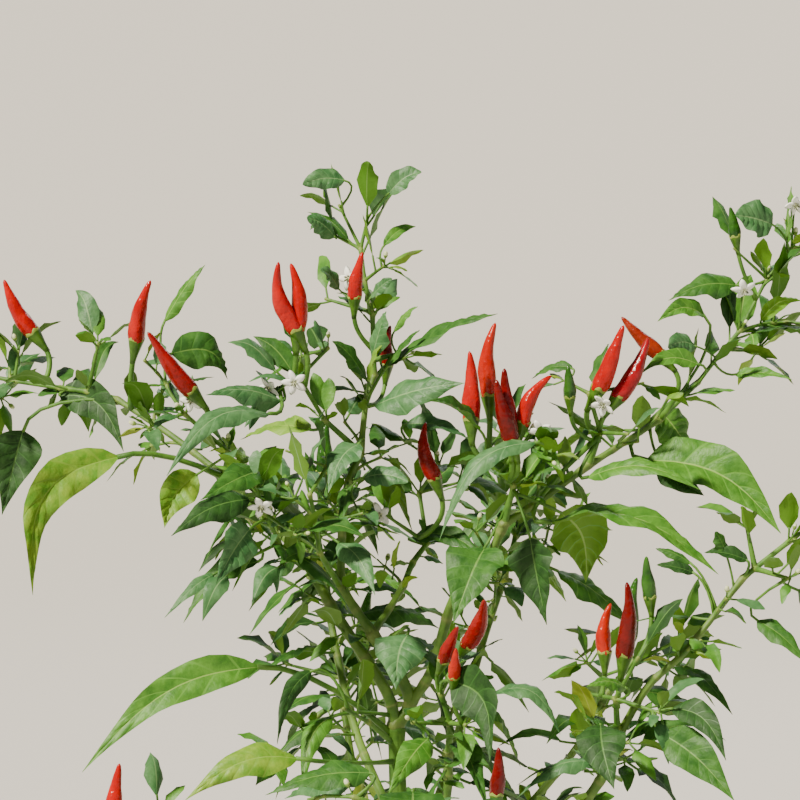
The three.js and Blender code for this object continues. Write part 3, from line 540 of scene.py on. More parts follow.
# The source's limb: its length, the joints of its faceted solid, its heading and its tip
def layLimb(plan):
    fine = smoothCurve(plan["points"], np.linspace(0, 1, limbRule["samples"]))
    length = np.linalg.norm(np.diff(fine, axis=0), axis=1).sum()
    steps = max(len(plan["points"]), int(length / limbRule["faceStep"] + 0.5))
    joints = smoothCurve(plan["points"], np.linspace(0, 1, steps + 1))
    return {
        "bends": plan["points"], "radii": plan["radii"], "length": length, "joints": joints,
        "heading": unit(joints[-1] - joints[-2]), "tip": joints[-1],
        "bare": plan.get("bare", fineRule["bare"]),
    }


# The least distance from each place to a row of points joined by straight lines
def distanceToLine(places, points):
    start = points[:-1]
    step = points[1:] - start
    reach = places[:, None, :] - start
    share = np.clip((reach * step).sum(-1) / (step * step).sum(-1), 0, 1)
    return np.linalg.norm(reach - share[..., None] * step, axis=-1).min(axis=1)


# Whether places keep clear of every limb, but for those near the mass's own root
def clearOfLimbs(places, limbs, root):
    outside = np.linalg.norm(places - root, axis=1) >= twigRule["nearRoot"]
    for limb in limbs.values():
        tooNear = distanceToLine(places, limb["joints"]) <= max(limb["radii"]) + twigRule["limbClearance"]
        if np.any(tooNear & outside):
            return False
    return True


# The node that a shoot, leaf or fruit grows from: the nearest, with those above it further off
def nearestNode(nodes, place):
    def cost(node):
        rise = max(0, node["place"][2] - place[2])
        return np.linalg.norm(node["place"] - place) + twigRule["riseCost"] * rise

    return min(nodes, key=cost)


# One shoot: it leads on from its node's heading, bends over to its place and zigzags a little
def growShoot(start, reachFor):
    chord = reachFor - start["place"]
    reach = np.linalg.norm(chord)
    count = max(1, int(reach / twigRule["internode"] + 0.5))
    bend = (start["heading"] * reach - chord) / 2
    control = start["place"] + chord / 2 + bend * twigRule["leadOn"]
    along = np.linspace(0, 1, count + 1)
    points = bentCurve(start["place"], control, reachFor, along[:, None])
    sway = np.where(np.arange(count + 1) % 2 == 0, 1, -1) * twigRule["zigzag"] * twigRule["internode"]
    sway[[0, -1]] = 0
    points = points + sway[:, None] * sideOf(chord / reach)
    radii = twigRule["thinnest"] + twigRule["taper"] * reach * (1 - along)
    return points, np.minimum(radii, start["radius"] * twigRule["forkShare"])


# All the shoots of a mass and the nodes along them, each with its heading and its age
def growTwigs(plan, limbs):
    bough = limbs[plan["from"]]
    root = np.array(plan["root"], float) if "root" in plan else bough["tip"]
    heading = unit(np.array(plan["rootHeading"])) if "root" in plan else bough["heading"]
    nodes = [{"place": root, "heading": heading, "radius": bough["radii"][1] * twigRule["rootShare"]}]
    shoots = []
    for order, place in enumerate(plan["shoots"]):
        reachFor = np.array(place, float)
        points, radii = growShoot(nearestNode(nodes, reachFor), reachFor)
        shoots.append((points, radii))
        if order == 0:
            nodes[0]["place"] = points[0] + (points[1] - points[0]) * twigRule["collarShare"]
        for joint in range(1, len(points)):
            step = points[joint] - points[joint - 1]
            toTip = np.linalg.norm(points[joint] - reachFor)
            nodes.append({
                "place": points[joint], "heading": unit(step), "length": np.linalg.norm(step),
                "radius": radii[joint], "age": min(1, toTip / leafRule["matureReach"]), "load": 0,
                "isTip": joint == len(points) - 1, "spray": order,
            })
    return root, nodes, shoots


# The next free place on a node's twig, a little further back for each thing that grows there
def takeRoot(node):
    back = (twigRule["rootSpacing"] * (node["load"] + twigRule["firstRoot"])) % (
        node["length"] * twigRule["rootReach"])
    node["load"] += 1
    return node["place"] - node["heading"] * back


# A leaf of a given length that heads away from its root, past a stalk that lifts it a little
def leafAt(node, root, heading, length, roll, widthShare=leafRule["widthShare"]):
    lift = up * length * leafRule["petioleRise"]
    return {
        "root": root, "base": root + heading * length * leafRule["petioleShare"] + lift,
        "tip": root + heading * length * (1 + leafRule["petioleShare"]),
        "width": length * widthShare, "roll": roll, "spray": node["spray"],
    }


# A direction turned out from a twig: so much along it, so much across at an angle, and so much up
def turnedOut(heading, angle, along, across, lift):
    side = sideOf(heading)
    over = np.cross(heading, side)
    return unit(heading * along + (side * math.cos(angle) + over * math.sin(angle)) * across + up * lift)


# The leaves that the source's rule sets on the nodes, in turn round the twig: young ones reach
# up, and older ones droop
def growLeaves(plan, nodes, random):
    leaves = []
    turn = plan["seed"]
    for order, node in enumerate(nodes[1:]):
        side = sideOf(node["heading"])
        over = np.cross(node["heading"], side)
        outward = unit(node["place"] * [1, 1, 0])
        count = leafRule["tipLeaves"] if node["isTip"] else 1 + order % 2
        for leaf in range(count):
            turn += leafRule["goldenTurn"] + leafRule["turnSpread"] * (random() - 0.5)
            across = side * math.cos(turn) + over * math.sin(turn)
            lift = leafRule["lift"] - leafRule["droop"] * node["age"]
            heading = unit(
                node["heading"] * leafRule["along"] + across * leafRule["across"]
                + outward * leafRule["outward"] + up * lift)
            grown = min(1, leafRule["matureGrowth"] * node["age"])
            mature = leafRule["young"] + (plan["leaf"] - leafRule["young"]) * grown
            size = leafRule["atTip"] if node["isTip"] else [mature, leafRule["inAxil"]][leaf]
            length = size * (leafRule["leastSize"] + leafRule["sizeSpread"] * random())
            roll = leafRule["greatestRoll"] * (2 * random() - 1)
            leaves.append(leafAt(node, takeRoot(node), heading, length, roll))
    return leaves


# The place on the midline of a limb or shoot that is nearest to a place
def onStem(place, limbs, shoots=()):
    along = np.linspace(0, 1, stemRule["samples"])
    inner = along[stemRule["shootEnds"]:-stemRule["shootEnds"]]
    lines = [smoothCurve(limb["bends"], along) for limb in limbs.values()]
    lines = np.concatenate(lines + [smoothCurve(points, inner) for points, _ in shoots])
    return lines[np.argmin(np.linalg.norm(lines - place, axis=1))]


# A leaf that the plan names, on a stalk from the nearest node, or from a limb if it says so
def namedLeaf(nodes, limbs, plan):
    base, tip = np.array(plan[:2], float)
    shape = plan[2] if len(plan) > 2 else {}
    node = nearestNode(nodes[1:], base)
    length = np.linalg.norm(tip - base)
    root = takeRoot(node)
    if "root" in shape:
        root = onStem(np.array(shape["root"], float), limbs)
    return {
        "root": root, "base": base, "tip": tip, "spray": node["spray"], "named": True,
        "width": length * shape.get("share", leafRule["namedWidthShare"]),
        "roll": shape.get("turn", leafRule["namedRoll"]) * np.sign(tip[0] - base[0]),
        "bow": shape.get("bow", (0, 0, 0)), "toneName": shape.get("tone"),
        "isBlunt": shape.get("blunt", False), "isLimbRooted": "root" in shape,
    }


# The finer growth at a node: a twiglet with its own small leaves, a leaf that hangs, leaves in
# the axil, or a tuft of leaves and buds at a shoot's tip
def growFine(node, random, growth, twigletLength=fineRule["twigletLength"]):
    place = node["place"]
    heading = node["heading"]

    def small(kind, root, around, angle, lengths, width=None):
        length = random.uniform(*lengths)
        direction = turnedOut(around, angle, *fineTurns[kind])
        roll = random.uniform(*fineRule["roll"])
        grown = np.clip((length - fineRule["longFrom"]) / fineRule["longRange"], 0, 1)
        share = random.uniform(*fineRule["smallWidth"]) * (1 - grown)
        share += random.uniform(*fineRule["longWidth"]) * grown
        growth["leaves"].append(leafAt(node, root, direction, length, roll, width or share))

    def bud(root, around):
        stalk = random.uniform(*fineRule["budStalk"])
        direction = turnedOut(around, random.uniform(0, 2 * math.pi), *fineTurns["bud"])
        growth["buds"].append((root, root + direction * stalk, random.uniform(*fineRule["budSize"])))

    angle = random.uniform(0, 2 * math.pi)
    if node["isTip"]:
        for leaf in range(fineRule["tuftLeaves"]):
            root = place + heading * random.uniform(*fineRule["tuftSpread"])
            around = angle + leaf * leafRule["goldenTurn"]
            small("tuft", root, heading, around, fineRule["tuftLeaf"])
        for spare in range(fineRule["tipBuds"]):
            if random.random() < fineRule["budShare"]:
                bud(place, heading)
        return
    direction = turnedOut(heading, angle, *fineTurns["twiglet"])
    length = random.uniform(*twigletLength)
    end = place + direction * length
    growth["twiglets"].append((place, place + heading * length * fineRule["twigletBend"], end))
    for leaf in range(fineRule["twigletLeaves"]):
        around = angle + leaf * leafRule["goldenTurn"]
        small("onTwigletTip", end, direction, around, fineRule["twigletLeaf"])
    middle = place + direction * length / 2
    small("onTwiglet", middle, direction, angle + fineRule["middleTurn"], fineRule["axilLeaf"])
    for leaf in range(fineRule["axilLeaves"]):
        around = angle + fineRule["axilTurn"] + leaf * fineRule["axilStep"]
        small("inAxil", place, heading, around, fineRule["axilLeaf"])
    if random.random() < fineRule["hangingShare"]:
        width = random.uniform(*fineRule["hangingWidth"])
        around = angle + fineRule["hangingTurn"]
        small("hanging", place, heading, around, fineRule["hangingLeaf"], width)
    if random.random() < fineRule["budShare"]:
        bud(end, direction)


# Places along a leaf's chord
def midlineOf(leaf):
    return leaf["base"] + (leaf["tip"] - leaf["base"]) * midlineShares[:, None]


# Whether a leaf leaves the fruit and the named leaves free: it is in front of none, and touches
# none. Each is a line with the room that it needs beside it
def leavesFree(leaf, lines):
    places = midlineOf(leaf)
    for line, room in lines:
        ahead = line[:, 1].mean() - places[:, 1]
        flat = distanceToLine(places * [1, 0, 1], line * [1, 0, 1])
        isBeside = flat < room + leaf["width"] * clearRule["halfLeaf"]
        if np.any(isBeside & (ahead > clearRule["behind"]) & (ahead < clearRule["inFront"])):
            return False
    return True


# A place so far on from one place to another
def between(start, end, share):
    return start * (1 - share) + end * share


# The lines that small leaves keep clear of: ripe fruit with their calyces, the named leaves, and
# the long stalks of those that come from a limb
def linesToClear(plans):
    lines = []
    for plan in plans:
        for base, tip, kind, *_ in plan.get("fruits", []):
            base = np.array(base, float)
            tip = np.array(tip, float)
            if kind != "green":
                foot = base - unit(tip - base) * clearRule["calyxReach"]
                lines.append((np.stack([foot, tip]), clearRule["fruitRoom"]))
        for leaf in plan["leaves"]:
            base, tip = np.array(leaf[:2], float)
            length = np.linalg.norm(tip - base)
            shape = leaf[2] if len(leaf) > 2 else {}
            if "root" in shape:
                root = np.array(shape["root"], float)
                rise = up * np.linalg.norm(base - root) * clearRule["stalkRise"]
                stalk = [between(root, base, clearRule["stalkStart"]), (root + base) / 2 + rise, base]
                lines.append((np.stack(stalk), clearRule["stalkRoom"]))
            bow = np.array(shape.get("bow", (0, 0, 0)))
            middle = (base + tip) / 2 + bow + up * length * clearRule["leafArch"]
            midline = [
                between(base, middle, clearRule["baseEnd"]), middle,
                between(tip, middle, clearRule["tipEnd"])]
            share = shape.get("share", leafRule["namedWidthShare"])
            lines.append((np.stack(midline), length * share * clearRule["leafRoom"]))
    return lines


# Each spray has its own tone, and each leaf a little of its own
def dealTones(leaves, seed, random):
    for leaf in leaves:
        step = seed * toneRule["seedStep"] + leaf["spray"] * toneRule["sprayStep"]
        spray = (step % toneRule["sprayTones"]) / toneRule["sprayTones"]
        leaf["tone"] = toneRule["bySpray"] * spray + toneRule["byLeaf"] * random.random()
        isSmall = np.linalg.norm(leaf["tip"] - leaf["base"]) < toneRule["yellowUnder"]
        leaf["isYellowing"] = isSmall and random.random() > toneRule["yellowAbove"]


# What a mass or a bough carries before anything has grown there
def newGrowth(shoots):
    return {"shoots": shoots, "fruits": [], "flowers": [], "leaves": [], "buds": [], "twiglets": []}


# Everything that one mass of foliage carries
def growMass(plan, limbs):
    root, nodes, shoots = growTwigs(plan, limbs)
    growth = newGrowth(shoots)
    for base, tip, kind, *bow in plan.get("fruits", []):
        base = np.array(base, float)
        tip = np.array(tip, float)
        below = base - unit(tip - base) * stemRule["back"] - up * stemRule["below"]
        growth["fruits"].append({
            "root": onStem(below, limbs, shoots), "base": base, "tip": tip, "kind": kind,
            "bow": bow[0] if bow else (0, 0, 0)})
    for place in plan.get("flowers", []):
        centre = np.array(place, float)
        growth["flowers"].append({"root": takeRoot(nearestNode(nodes[1:], centre)), "centre": centre})
    named = [namedLeaf(nodes, limbs, leaf) for leaf in plan["leaves"]]
    ruled = growLeaves(plan, nodes, seededRandom(plan["seed"]))
    random = np.random.default_rng(plan["seed"])
    spare = np.random.default_rng(plan["seed"] + 1)
    for node in nodes[1:]:
        if spare.random() < plan.get("lush", 1):
            growFine(node, random, growth)
    free = [leaf for leaf in ruled + growth["leaves"] if clearOfLimbs(midlineOf(leaf), limbs, root)]
    growth["leaves"] = named + free
    dealTones(growth["leaves"], plan["seed"], random)
    return growth


# The growth on a bough itself: twiglets with their leaves at the joints that still carry any
def growOnBough(limb, limbs, seed):
    random = np.random.default_rng(seed)
    growth = newGrowth([])
    spacing = limbLook["nodeSpacing"] * fineRule["boughSpacing"] / limb["length"]
    along = np.arange(limb["bare"], fineRule["boughEnd"], spacing)
    places = smoothCurve(limb["bends"], along)
    headings = smoothCurve(limb["bends"], along + fineRule["headingStep"]) - places
    for order, (place, heading) in enumerate(zip(places, headings)):
        node = {"place": place, "heading": unit(heading), "isTip": False, "spray": order}
        growFine(node, random, growth, fineRule["boughTwiglet"])
    growth["leaves"] = [
        leaf for leaf in growth["leaves"] if clearOfLimbs(midlineOf(leaf)[1:], limbs, places[0])
    ]
    dealTones(growth["leaves"], seed, random)
    return growth


# Gathers many like shapes, to be made into one mesh: their places, their faces with the number of
# each one's material, and for each corner how corky it is and whether it is on a leaf's rim
class Gather:
    def __init__(self):
        self.places = []
        self.quads = []
        self.triangles = []
        self.quadKinds = []
        self.triangleKinds = []
        self.cork = []
        self.rims = []
        self.count = 0

    def add(self, places, quads, triangles, quadKinds, triangleKinds, cork=None, rims=None):
        number, corners, _ = places.shape
        offsets = self.count + corners * np.arange(number)[:, None, None]
        self.places.append(places.reshape(-1, 3))
        self.quads.append((quads[None] + offsets).reshape(-1, 4))
        self.triangles.append((triangles[None] + offsets).reshape(-1, 3))
        self.quadKinds.append(np.broadcast_to(quadKinds, (number, len(quads))).ravel())
        self.triangleKinds.append(np.broadcast_to(triangleKinds, (number, len(triangles))).ravel())
        self.cork.append(np.zeros(number * corners) if cork is None else cork.ravel())
        rims = np.zeros(corners, bool) if rims is None else rims
        self.rims.append(np.tile(rims, number))
        self.count += number * corners


# The faces of a row of closed rings with a pole at each end: a quad between each two corners of a
# ring and those of the next, and a triangle from each side of an end ring to its pole
def ringFaces(rings, sides):
    corner = np.arange(rings * sides).reshape(rings, sides)
    turned = np.roll(corner, -1, axis=1)
    quads = np.stack([corner[:-1], turned[:-1], turned[1:], corner[1:]], axis=-1).reshape(-1, 4)
    first = np.full(sides, rings * sides)
    start = np.stack([first, turned[0], corner[0]], axis=-1)
    end = np.stack([first + 1, corner[-1], turned[-1]], axis=-1)
    return quads, np.vstack([start, end])


# Rings round centres and square to one axis. A corner is its ring's centre, plus side times the
# cosine and over times the sine of its angle, times its radius, plus the axis times its rise
def ringShape(centres, side, over, radii, rise=None):
    number, rings, sides = radii.shape
    angle = roundAngles(sides)
    spoke = side[:, None, :] * np.cos(angle)[:, None] + over[:, None, :] * np.sin(angle)[:, None]
    places = centres[:, :, None, :] + spoke[:, None] * radii[..., None]
    if rise is not None:
        places = places + np.cross(side, over)[:, None, None, :] * rise[..., None]
    poles = places[:, [0, -1]].mean(axis=2)
    return np.concatenate([places.reshape(number, -1, 3), poles], axis=1), *ringFaces(rings, sides)


# Closed tubes along paths: a corner is its point on the path, plus the cosine and sine of its angle
# along two directions square to the path, times the radius and relief there. Each section is
# turned as little as it can be from the one before
def tubeShape(points, radii, sides, relief=1.0):
    number, steps, _ = points.shape
    headings = units(np.gradient(points, axis=1))
    side, _ = squareTo(headings[:, 0])
    sideways = np.empty_like(points)
    for step in range(steps):
        heading = headings[:, step]
        side = units(side - heading * (side * heading).sum(-1, keepdims=True))
        sideways[:, step] = side
    over = np.cross(headings, sideways)
    angle = roundAngles(sides)
    spoke = sideways[:, :, None] * np.cos(angle)[:, None] + over[:, :, None] * np.sin(angle)[:, None]
    radius = radii[:, :, None] * np.broadcast_to(relief, (number, steps, sides))
    places = points[:, :, None] + spoke * radius[..., None]
    poles = points[:, [0, -1]]
    return np.concatenate([places.reshape(number, -1, 3), poles], axis=1), *ringFaces(steps, sides)


# The domes that close a limb or shoot: the angles of their rings, and their height as a share of
# the radius
domeLook = {"turns": (82, 60, 30), "height": 0.8}


# Adds a dome to each end of a path: a ring's radius is the end's times the cosine of its angle,
# and it stands past the end by the radius times the sine and the dome's height
def withDomes(points, radii):
    turns = np.radians(domeLook["turns"])
    start = unit(points[0] - points[1])
    end = unit(points[-1] - points[-2])
    before = points[0] + start * radii[0] * np.sin(turns)[:, None] * domeLook["height"]
    after = points[-1] + end * radii[-1] * np.sin(turns[::-1])[:, None] * domeLook["height"]
    allRadii = np.concatenate([radii[0] * np.cos(turns), radii, radii[-1] * np.cos(turns[::-1])])
    return np.vstack([before, points, after]), allRadii


# The cork value of each corner of a tube: that of its ring, or of the nearest one for the domes'
# rings and the poles
def corkOfTube(cork, sides):
    domeRings = len(domeLook["turns"])
    cork = np.concatenate([np.repeat(cork[0], domeRings), cork, np.repeat(cork[-1], domeRings)])
    return cork, np.concatenate([np.repeat(cork, sides), cork[[0, -1]]])


# One bump at each of some places along a length: e to the power of minus the square of the
# distance from it, in half widths
def bumpsAt(distance, places, halfWidth):
    return np.exp(-((distance[:, None] - places[None]) / halfWidth) ** 2).sum(axis=1)


# Makes a joined mesh in its place, smooth but for the rims of its leaves
def makePiece(name, gather, materials, replaced=()):
    places = np.concatenate(gather.places) * millimetre
    quads = np.concatenate(gather.quads)
    triangles = np.concatenate(gather.triangles)
    corners = np.concatenate([quads.ravel(), triangles.ravel()])
    starts = np.concatenate([np.arange(len(quads)) * 4, len(quads) * 4 + np.arange(len(triangles)) * 3])
    kinds = np.concatenate(gather.quadKinds + gather.triangleKinds)
    mesh = bpy.data.meshes.new(name)
    mesh.vertices.add(len(places))
    mesh.vertices.foreach_set("co", places.ravel())
    mesh.loops.add(len(corners))
    mesh.loops.foreach_set("vertex_index", corners.astype(np.int32))
    mesh.polygons.add(len(starts))
    mesh.polygons.foreach_set("loop_start", starts.astype(np.int32))
    mesh.update(calc_edges=True)
    mesh.polygons.foreach_set("material_index", kinds.astype(np.int32))
    mesh.shade_smooth()
    cork = mesh.attributes.new("cork", "FLOAT", "POINT")
    cork.data.foreach_set("value", np.concatenate(gather.cork).astype(np.float32))
    rims = np.concatenate(gather.rims)
    if rims.any():
        ends = np.empty(len(mesh.edges) * 2, np.int32)
        mesh.edges.foreach_get("vertices", ends)
        sharp = mesh.attributes.get("sharp_edge") or mesh.attributes.new("sharp_edge", "BOOLEAN", "EDGE")
        sharp.data.foreach_set("value", rims[ends].reshape(-1, 2).all(axis=1))
    for material in materials:
        mesh.materials.append(material)
    mesh.validate()
    piece = bpy.data.objects.new(name, mesh)
    bpy.context.scene.collection.objects.link(piece)
    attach(piece, "root")
    if replaced:
        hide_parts(*replaced)
    print(name, "made:", len(quads) * 2 + len(triangles), "triangles")


# An sRGB hex colour turned to linear by the standard's own formula
def linear(hexColour):
    parts = [int(hexColour[start:start + 2], 16) / 255 for start in (1, 3, 5)]
    return (*[part / 12.92 if part <= 0.04045 else ((part + 0.055) / 1.055) ** 2.4 for part in parts], 1)


# Adds one node with its settings, its input values and its links
def addNode(material, kind, settings=None, values=None, links=None):
    node = material.node_tree.nodes.new(kind)
    for key, value in (settings or {}).items():
        setattr(node, key, value)
    for socket, value in (values or {}).items():
        node.inputs[socket].default_value = value
    for socket, source in (links or {}).items():
        material.node_tree.links.new(source, node.inputs[socket])
    return node


# A material with its surface shader, ready for its patterns to be linked
def newMaterial(name, values):
    material = bpy.data.materials.new(name)
    material.use_nodes = True
    shader = material.node_tree.nodes["Principled BSDF"]
    for socket, value in values.items():
        shader.inputs[socket].default_value = value
    place = addNode(material, "ShaderNodeTexCoord").outputs["Object"]
    return material, shader, place


# A pattern of soft noise whose blotches are so many millimetres across
def noiseOf(material, place, size, detail=3.0, roughness=0.55):
    values = {"Scale": 1000 / size, "Detail": detail, "Roughness": roughness}
    return addNode(material, "ShaderNodeTexNoise", {}, values, {"Vector": place}).outputs["Fac"]


# A colour that wanders between two others with a pattern
def mixOf(material, factor, first, second, low=0.35, high=0.65):
    ramp = addNode(material, "ShaderNodeValToRGB", {}, {}, {"Fac": factor})
    ramp.color_ramp.elements[0].position = low
    ramp.color_ramp.elements[0].color = linear(first)
    ramp.color_ramp.elements[1].position = high
    ramp.color_ramp.elements[1].color = linear(second)
    return ramp.outputs["Color"]


# Gives a shader its colour and its bump, which is so many millimetres deep
def finishSkin(material, shader, colour, height, strength, depth):
    material.node_tree.links.new(colour, shader.inputs["Base Color"])
    values = {"Strength": strength, "Distance": depth * millimetre}
    bump = addNode(material, "ShaderNodeBump", {}, values, {"Height": height})
    material.node_tree.links.new(bump.outputs["Normal"], shader.inputs["Normal"])


# Living skin of a leaf, calyx, petal or bud, smooth under a thin wax: two near colours in soft
# blotches, with a grain that is drawn coarser than life so that it shows, and deeper with its size
livingLook = {"ior": 1.42, "grainDetail": 2.0, "leastDepth": 0.15, "depthShare": 0.12}


def livingSkin(name, first, second, roughness, blotch=7.0, grain=0.7, bump=0.3):
    material, shader, place = newMaterial(name, {"Roughness": roughness, "IOR": livingLook["ior"]})
    colour = mixOf(material, noiseOf(material, place, blotch), first, second)
    height = noiseOf(material, place, grain, livingLook["grainDetail"])
    depth = livingLook["depthShare"] * grain + livingLook["leastDepth"]
    finishSkin(material, shader, colour, height, bump, depth)
    return material


# Semi-woody chilli stem, young and ribbed: pale green with fine streaks, buff cork where the
# cork value says that a joint has healed over, and a dull wax shine
stemLook = {
    "roughness": 0.55, "ior": 1.45, "blotch": 9, "blotchDetail": 4, "fleck": 1.6, "corkGain": 1.5,
    "corkStart": -0.45, "grainDetail": 4, "bump": 0.5, "bumpDepth": 0.3,
}


def stemSkin(name, first, second, corkColour, grain=0.8):
    values = {"Roughness": stemLook["roughness"], "IOR": stemLook["ior"]}
    material, shader, place = newMaterial(name, values)
    blotches = noiseOf(material, place, stemLook["blotch"], stemLook["blotchDetail"])
    green = mixOf(material, blotches, first, second)
    fleck = noiseOf(material, place, stemLook["fleck"])
    cork = addNode(material, "ShaderNodeAttribute", {"attribute_name": "cork"}).outputs["Fac"]
    edge = addNode(
        material, "ShaderNodeMath", {"operation": "MULTIPLY_ADD"},
        {1: stemLook["corkGain"], 2: stemLook["corkStart"]}, {0: cork})
    ragged = addNode(
        material, "ShaderNodeMath", {"operation": "ADD", "use_clamp": True}, {},
        {0: edge.outputs[0], 1: fleck})
    corkShare = addNode(
        material, "ShaderNodeMath", {"operation": "MULTIPLY", "use_clamp": True}, {},
        {0: ragged.outputs[0], 1: cork})
    mix = addNode(material, "ShaderNodeMix", {"data_type": "RGBA"}, {7: linear(corkColour)}, {
        0: corkShare.outputs[0], 6: green})
    height = noiseOf(material, place, grain, stemLook["grainDetail"])
    finishSkin(material, shader, mix.outputs[2], height, stemLook["bump"], stemLook["bumpDepth"])
    return material


# Mature bark of the stem's foot: thin grey-brown cork with long cracks and no shine, green above
# where the skin hasn't split yet. The green begins between two heights in metres
barkLook = {
    "roughness": 0.82, "ior": 1.45, "stretch": (1, 1, 0.16), "crack": 2.6, "crackDetail": 6,
    "crackRoughness": 0.65, "brown": ("#4d4026", "#a08c62", 0.38, 0.62), "green": ("#2f5a12", "#4f7a24"),
    "blotch": 7, "blotchDetail": 4, "wander": 22, "wanderDetail": 4, "wanderShare": 0.12,
    "greenFrom": 0.08, "greenTo": 0.22, "bump": 0.8, "bumpDepth": 0.6,
}


def barkSkin(name):
    values = {"Roughness": barkLook["roughness"], "IOR": barkLook["ior"]}
    material, shader, place = newMaterial(name, values)
    stretch = addNode(material, "ShaderNodeMapping", {}, {"Scale": barkLook["stretch"]}, {"Vector": place})
    cracks = noiseOf(
        material, stretch.outputs["Vector"], barkLook["crack"], barkLook["crackDetail"],
        barkLook["crackRoughness"])
    brown = mixOf(material, cracks, *barkLook["brown"])
    blotches = noiseOf(material, place, barkLook["blotch"], barkLook["blotchDetail"])
    green = mixOf(material, blotches, *barkLook["green"])
    height = addNode(material, "ShaderNodeSeparateXYZ", {}, {}, {"Vector": place}).outputs["Z"]
    wander = addNode(
        material, "ShaderNodeMath", {"operation": "MULTIPLY_ADD"}, {1: barkLook["wanderShare"]},
        {0: noiseOf(material, place, barkLook["wander"], barkLook["wanderDetail"]), 2: height})
    share = addNode(
        material, "ShaderNodeMapRange", {}, {1: barkLook["greenFrom"], 2: barkLook["greenTo"]},
        {0: wander.outputs[0]})
    mix = addNode(material, "ShaderNodeMix", {"data_type": "RGBA"}, {}, {
        0: share.outputs[0], 6: brown, 7: green})
    finishSkin(material, shader, mix.outputs[2], cracks, barkLook["bump"], barkLook["bumpDepth"])
    return material


# Ripe chilli: a tight waxy skin with a hard gloss over soft dents, its red a little blotched
chilliLook = {
    "surface": {"Roughness": 0.24, "IOR": 1.36, "Coat Weight": 0.08, "Coat Roughness": 0.06},
    "blotch": 8, "dent": 2.8, "detail": 2, "bump": 0.7, "bumpDepth": 0.9,
}


def fruitSkin(name, first, second):
    material, shader, place = newMaterial(name, chilliLook["surface"])
    blotches = noiseOf(material, place, chilliLook["blotch"], chilliLook["detail"])
    colour = mixOf(material, blotches, first, second)
    dents = noiseOf(material, place, chilliLook["dent"], chilliLook["detail"])
    finishSkin(material, shader, colour, dents, chilliLook["bump"], chilliLook["bumpDepth"])
    return material


# A leaf is satin above, with the dents between its finest veins, and duller below. The tones:
# upper skin in two near greens, lower skin, side veins and midrib. The lower skin is the underside's
# own paler green, made a brighter yellow-green as painted light shining through the leaf
leafTones = {
    # In each row the two upper greens lie further apart than the leaf's own mottling, so their blotches
    # are partly painted dapples of light and shade
    "young": ("#5c8c20", "#7fa636", "#7ea41a", "#7ba038", "#88a83e"),
    "fresh": ("#386e18", "#568c2a", "#5c8c12", "#5c9032", "#84a84e"),
    "mature": ("#245413", "#3f7024", "#48790f", "#3f6f25", "#628a3a"),
    # The shade tone below is a darker green: the leaf's own darker tone on large leaves dealt it at
    # random, and painted shade on the named leaves given it
    "shade": ("#153a0c", "#29521a", "#355f12", "#2e5a20", "#4f7736"),
    # The blue-grey green tone below is a painted sheen: the pale sky reflection on a leaf's upper side,
    # painted into its colour
    "waxy": ("#346434", "#527f4b", "#5a8228", "#54824d", "#769a63"),
    # The sunny tone below is a painted sunlit yellow-green, for leaves that the sun lights
    "sunny": ("#558a1a", "#7da02a", "#7fa31c", "#70962c", "#84a83e"),
    "yellowing": ("#6a8620", "#84962c", "#849a26", "#8c9c36", "#9aa646"),
}
leafSkinLook = {
    "roughness": 0.5, "dull": {"shade": 0.64, "mature": 0.56}, "underRoughness": 0.55, "grain": 2.8,
    "bump": 0.9, "underBump": 0.4, "veinBump": 0.1,
}
toneNames = list(leafTones)
leafKinds = {"upper": 0, "midrib": 1, "under": 2, "vein": 3}
leafMaterials = []
for tone, (first, second, lower, vein, midrib) in leafTones.items():
    satin = leafSkinLook["roughness"]
    leafMaterials.append(livingSkin(
        "leaf_upper_" + tone, first, second, leafSkinLook["dull"].get(tone, satin),
        grain=leafSkinLook["grain"], bump=leafSkinLook["bump"]))
    leafMaterials.append(livingSkin(
        "leaf_midrib_" + tone, midrib, midrib, satin, bump=leafSkinLook["veinBump"]))
    leafMaterials.append(livingSkin(
        "leaf_under_" + tone, lower, lower, leafSkinLook["underRoughness"],
        grain=leafSkinLook["grain"], bump=leafSkinLook["underBump"]))
    leafMaterials.append(livingSkin(
        "leaf_vein_" + tone, vein, vein, satin, bump=leafSkinLook["veinBump"]))
stemMaterial = stemSkin("green_stem_skin", "#41681c", "#628430", "#868c50")
barkMaterial = barkSkin("corky_bark")
twigMaterial = stemSkin("green_twig_skin", "#3c6a1a", "#5c8a2e", "#7c9242", grain=0.6)
fruitColours = {
    "scarlet": ("#a00400", "#b60c00"),
    "orange": ("#a41400", "#ba2200"),
    "red": ("#7e0300", "#960802"),
    "crimson": ("#86060e", "#a00e1a"),
    "darkRed": ("#5c0200", "#760502"),
    "russet": ("#7c1c07", "#983010"),
    "green": ("#1c4410", "#35651a"),
}
fruitKinds = list(fruitColours)
fruitMaterials = [fruitSkin("chilli_skin_" + kind, *fruitColours[kind]) for kind in fruitKinds]

# The calyx's fleshy cup, smoother than a leaf, and its paler rim
calyxMaterials = [
    livingSkin("calyx_green", "#34590f", "#4c751c", 0.35, blotch=4),
    livingSkin("calyx_rim", "#748d34", "#93a548", 0.5, blotch=3),
]

# Petals as soft as paper, pale green at the throat, and dusty anthers without a shine
flowerMaterials = [
    livingSkin("petal_white", "#f6f7f0", "#fdfdfa", 0.5, blotch=3, grain=0.5, bump=0.2),
    livingSkin("petal_throat", "#dbe2b4", "#e8ecd0", 0.5, blotch=2, grain=0.5, bump=0.2),
    livingSkin("anther_grey", "#77806a", "#8f967e", 0.7, blotch=1.5, grain=0.4),
]
budMaterials = [
    livingSkin("bud_pale", "#c9d497", "#e2e6c6", 0.5, blotch=2),
    livingSkin("bud_cup", "#6f8f3a", "#86a34c", 0.5, blotch=2),
]
print("materials made")

limbs = {plan["name"]: layLimb(plan) for plan in limbPlans}

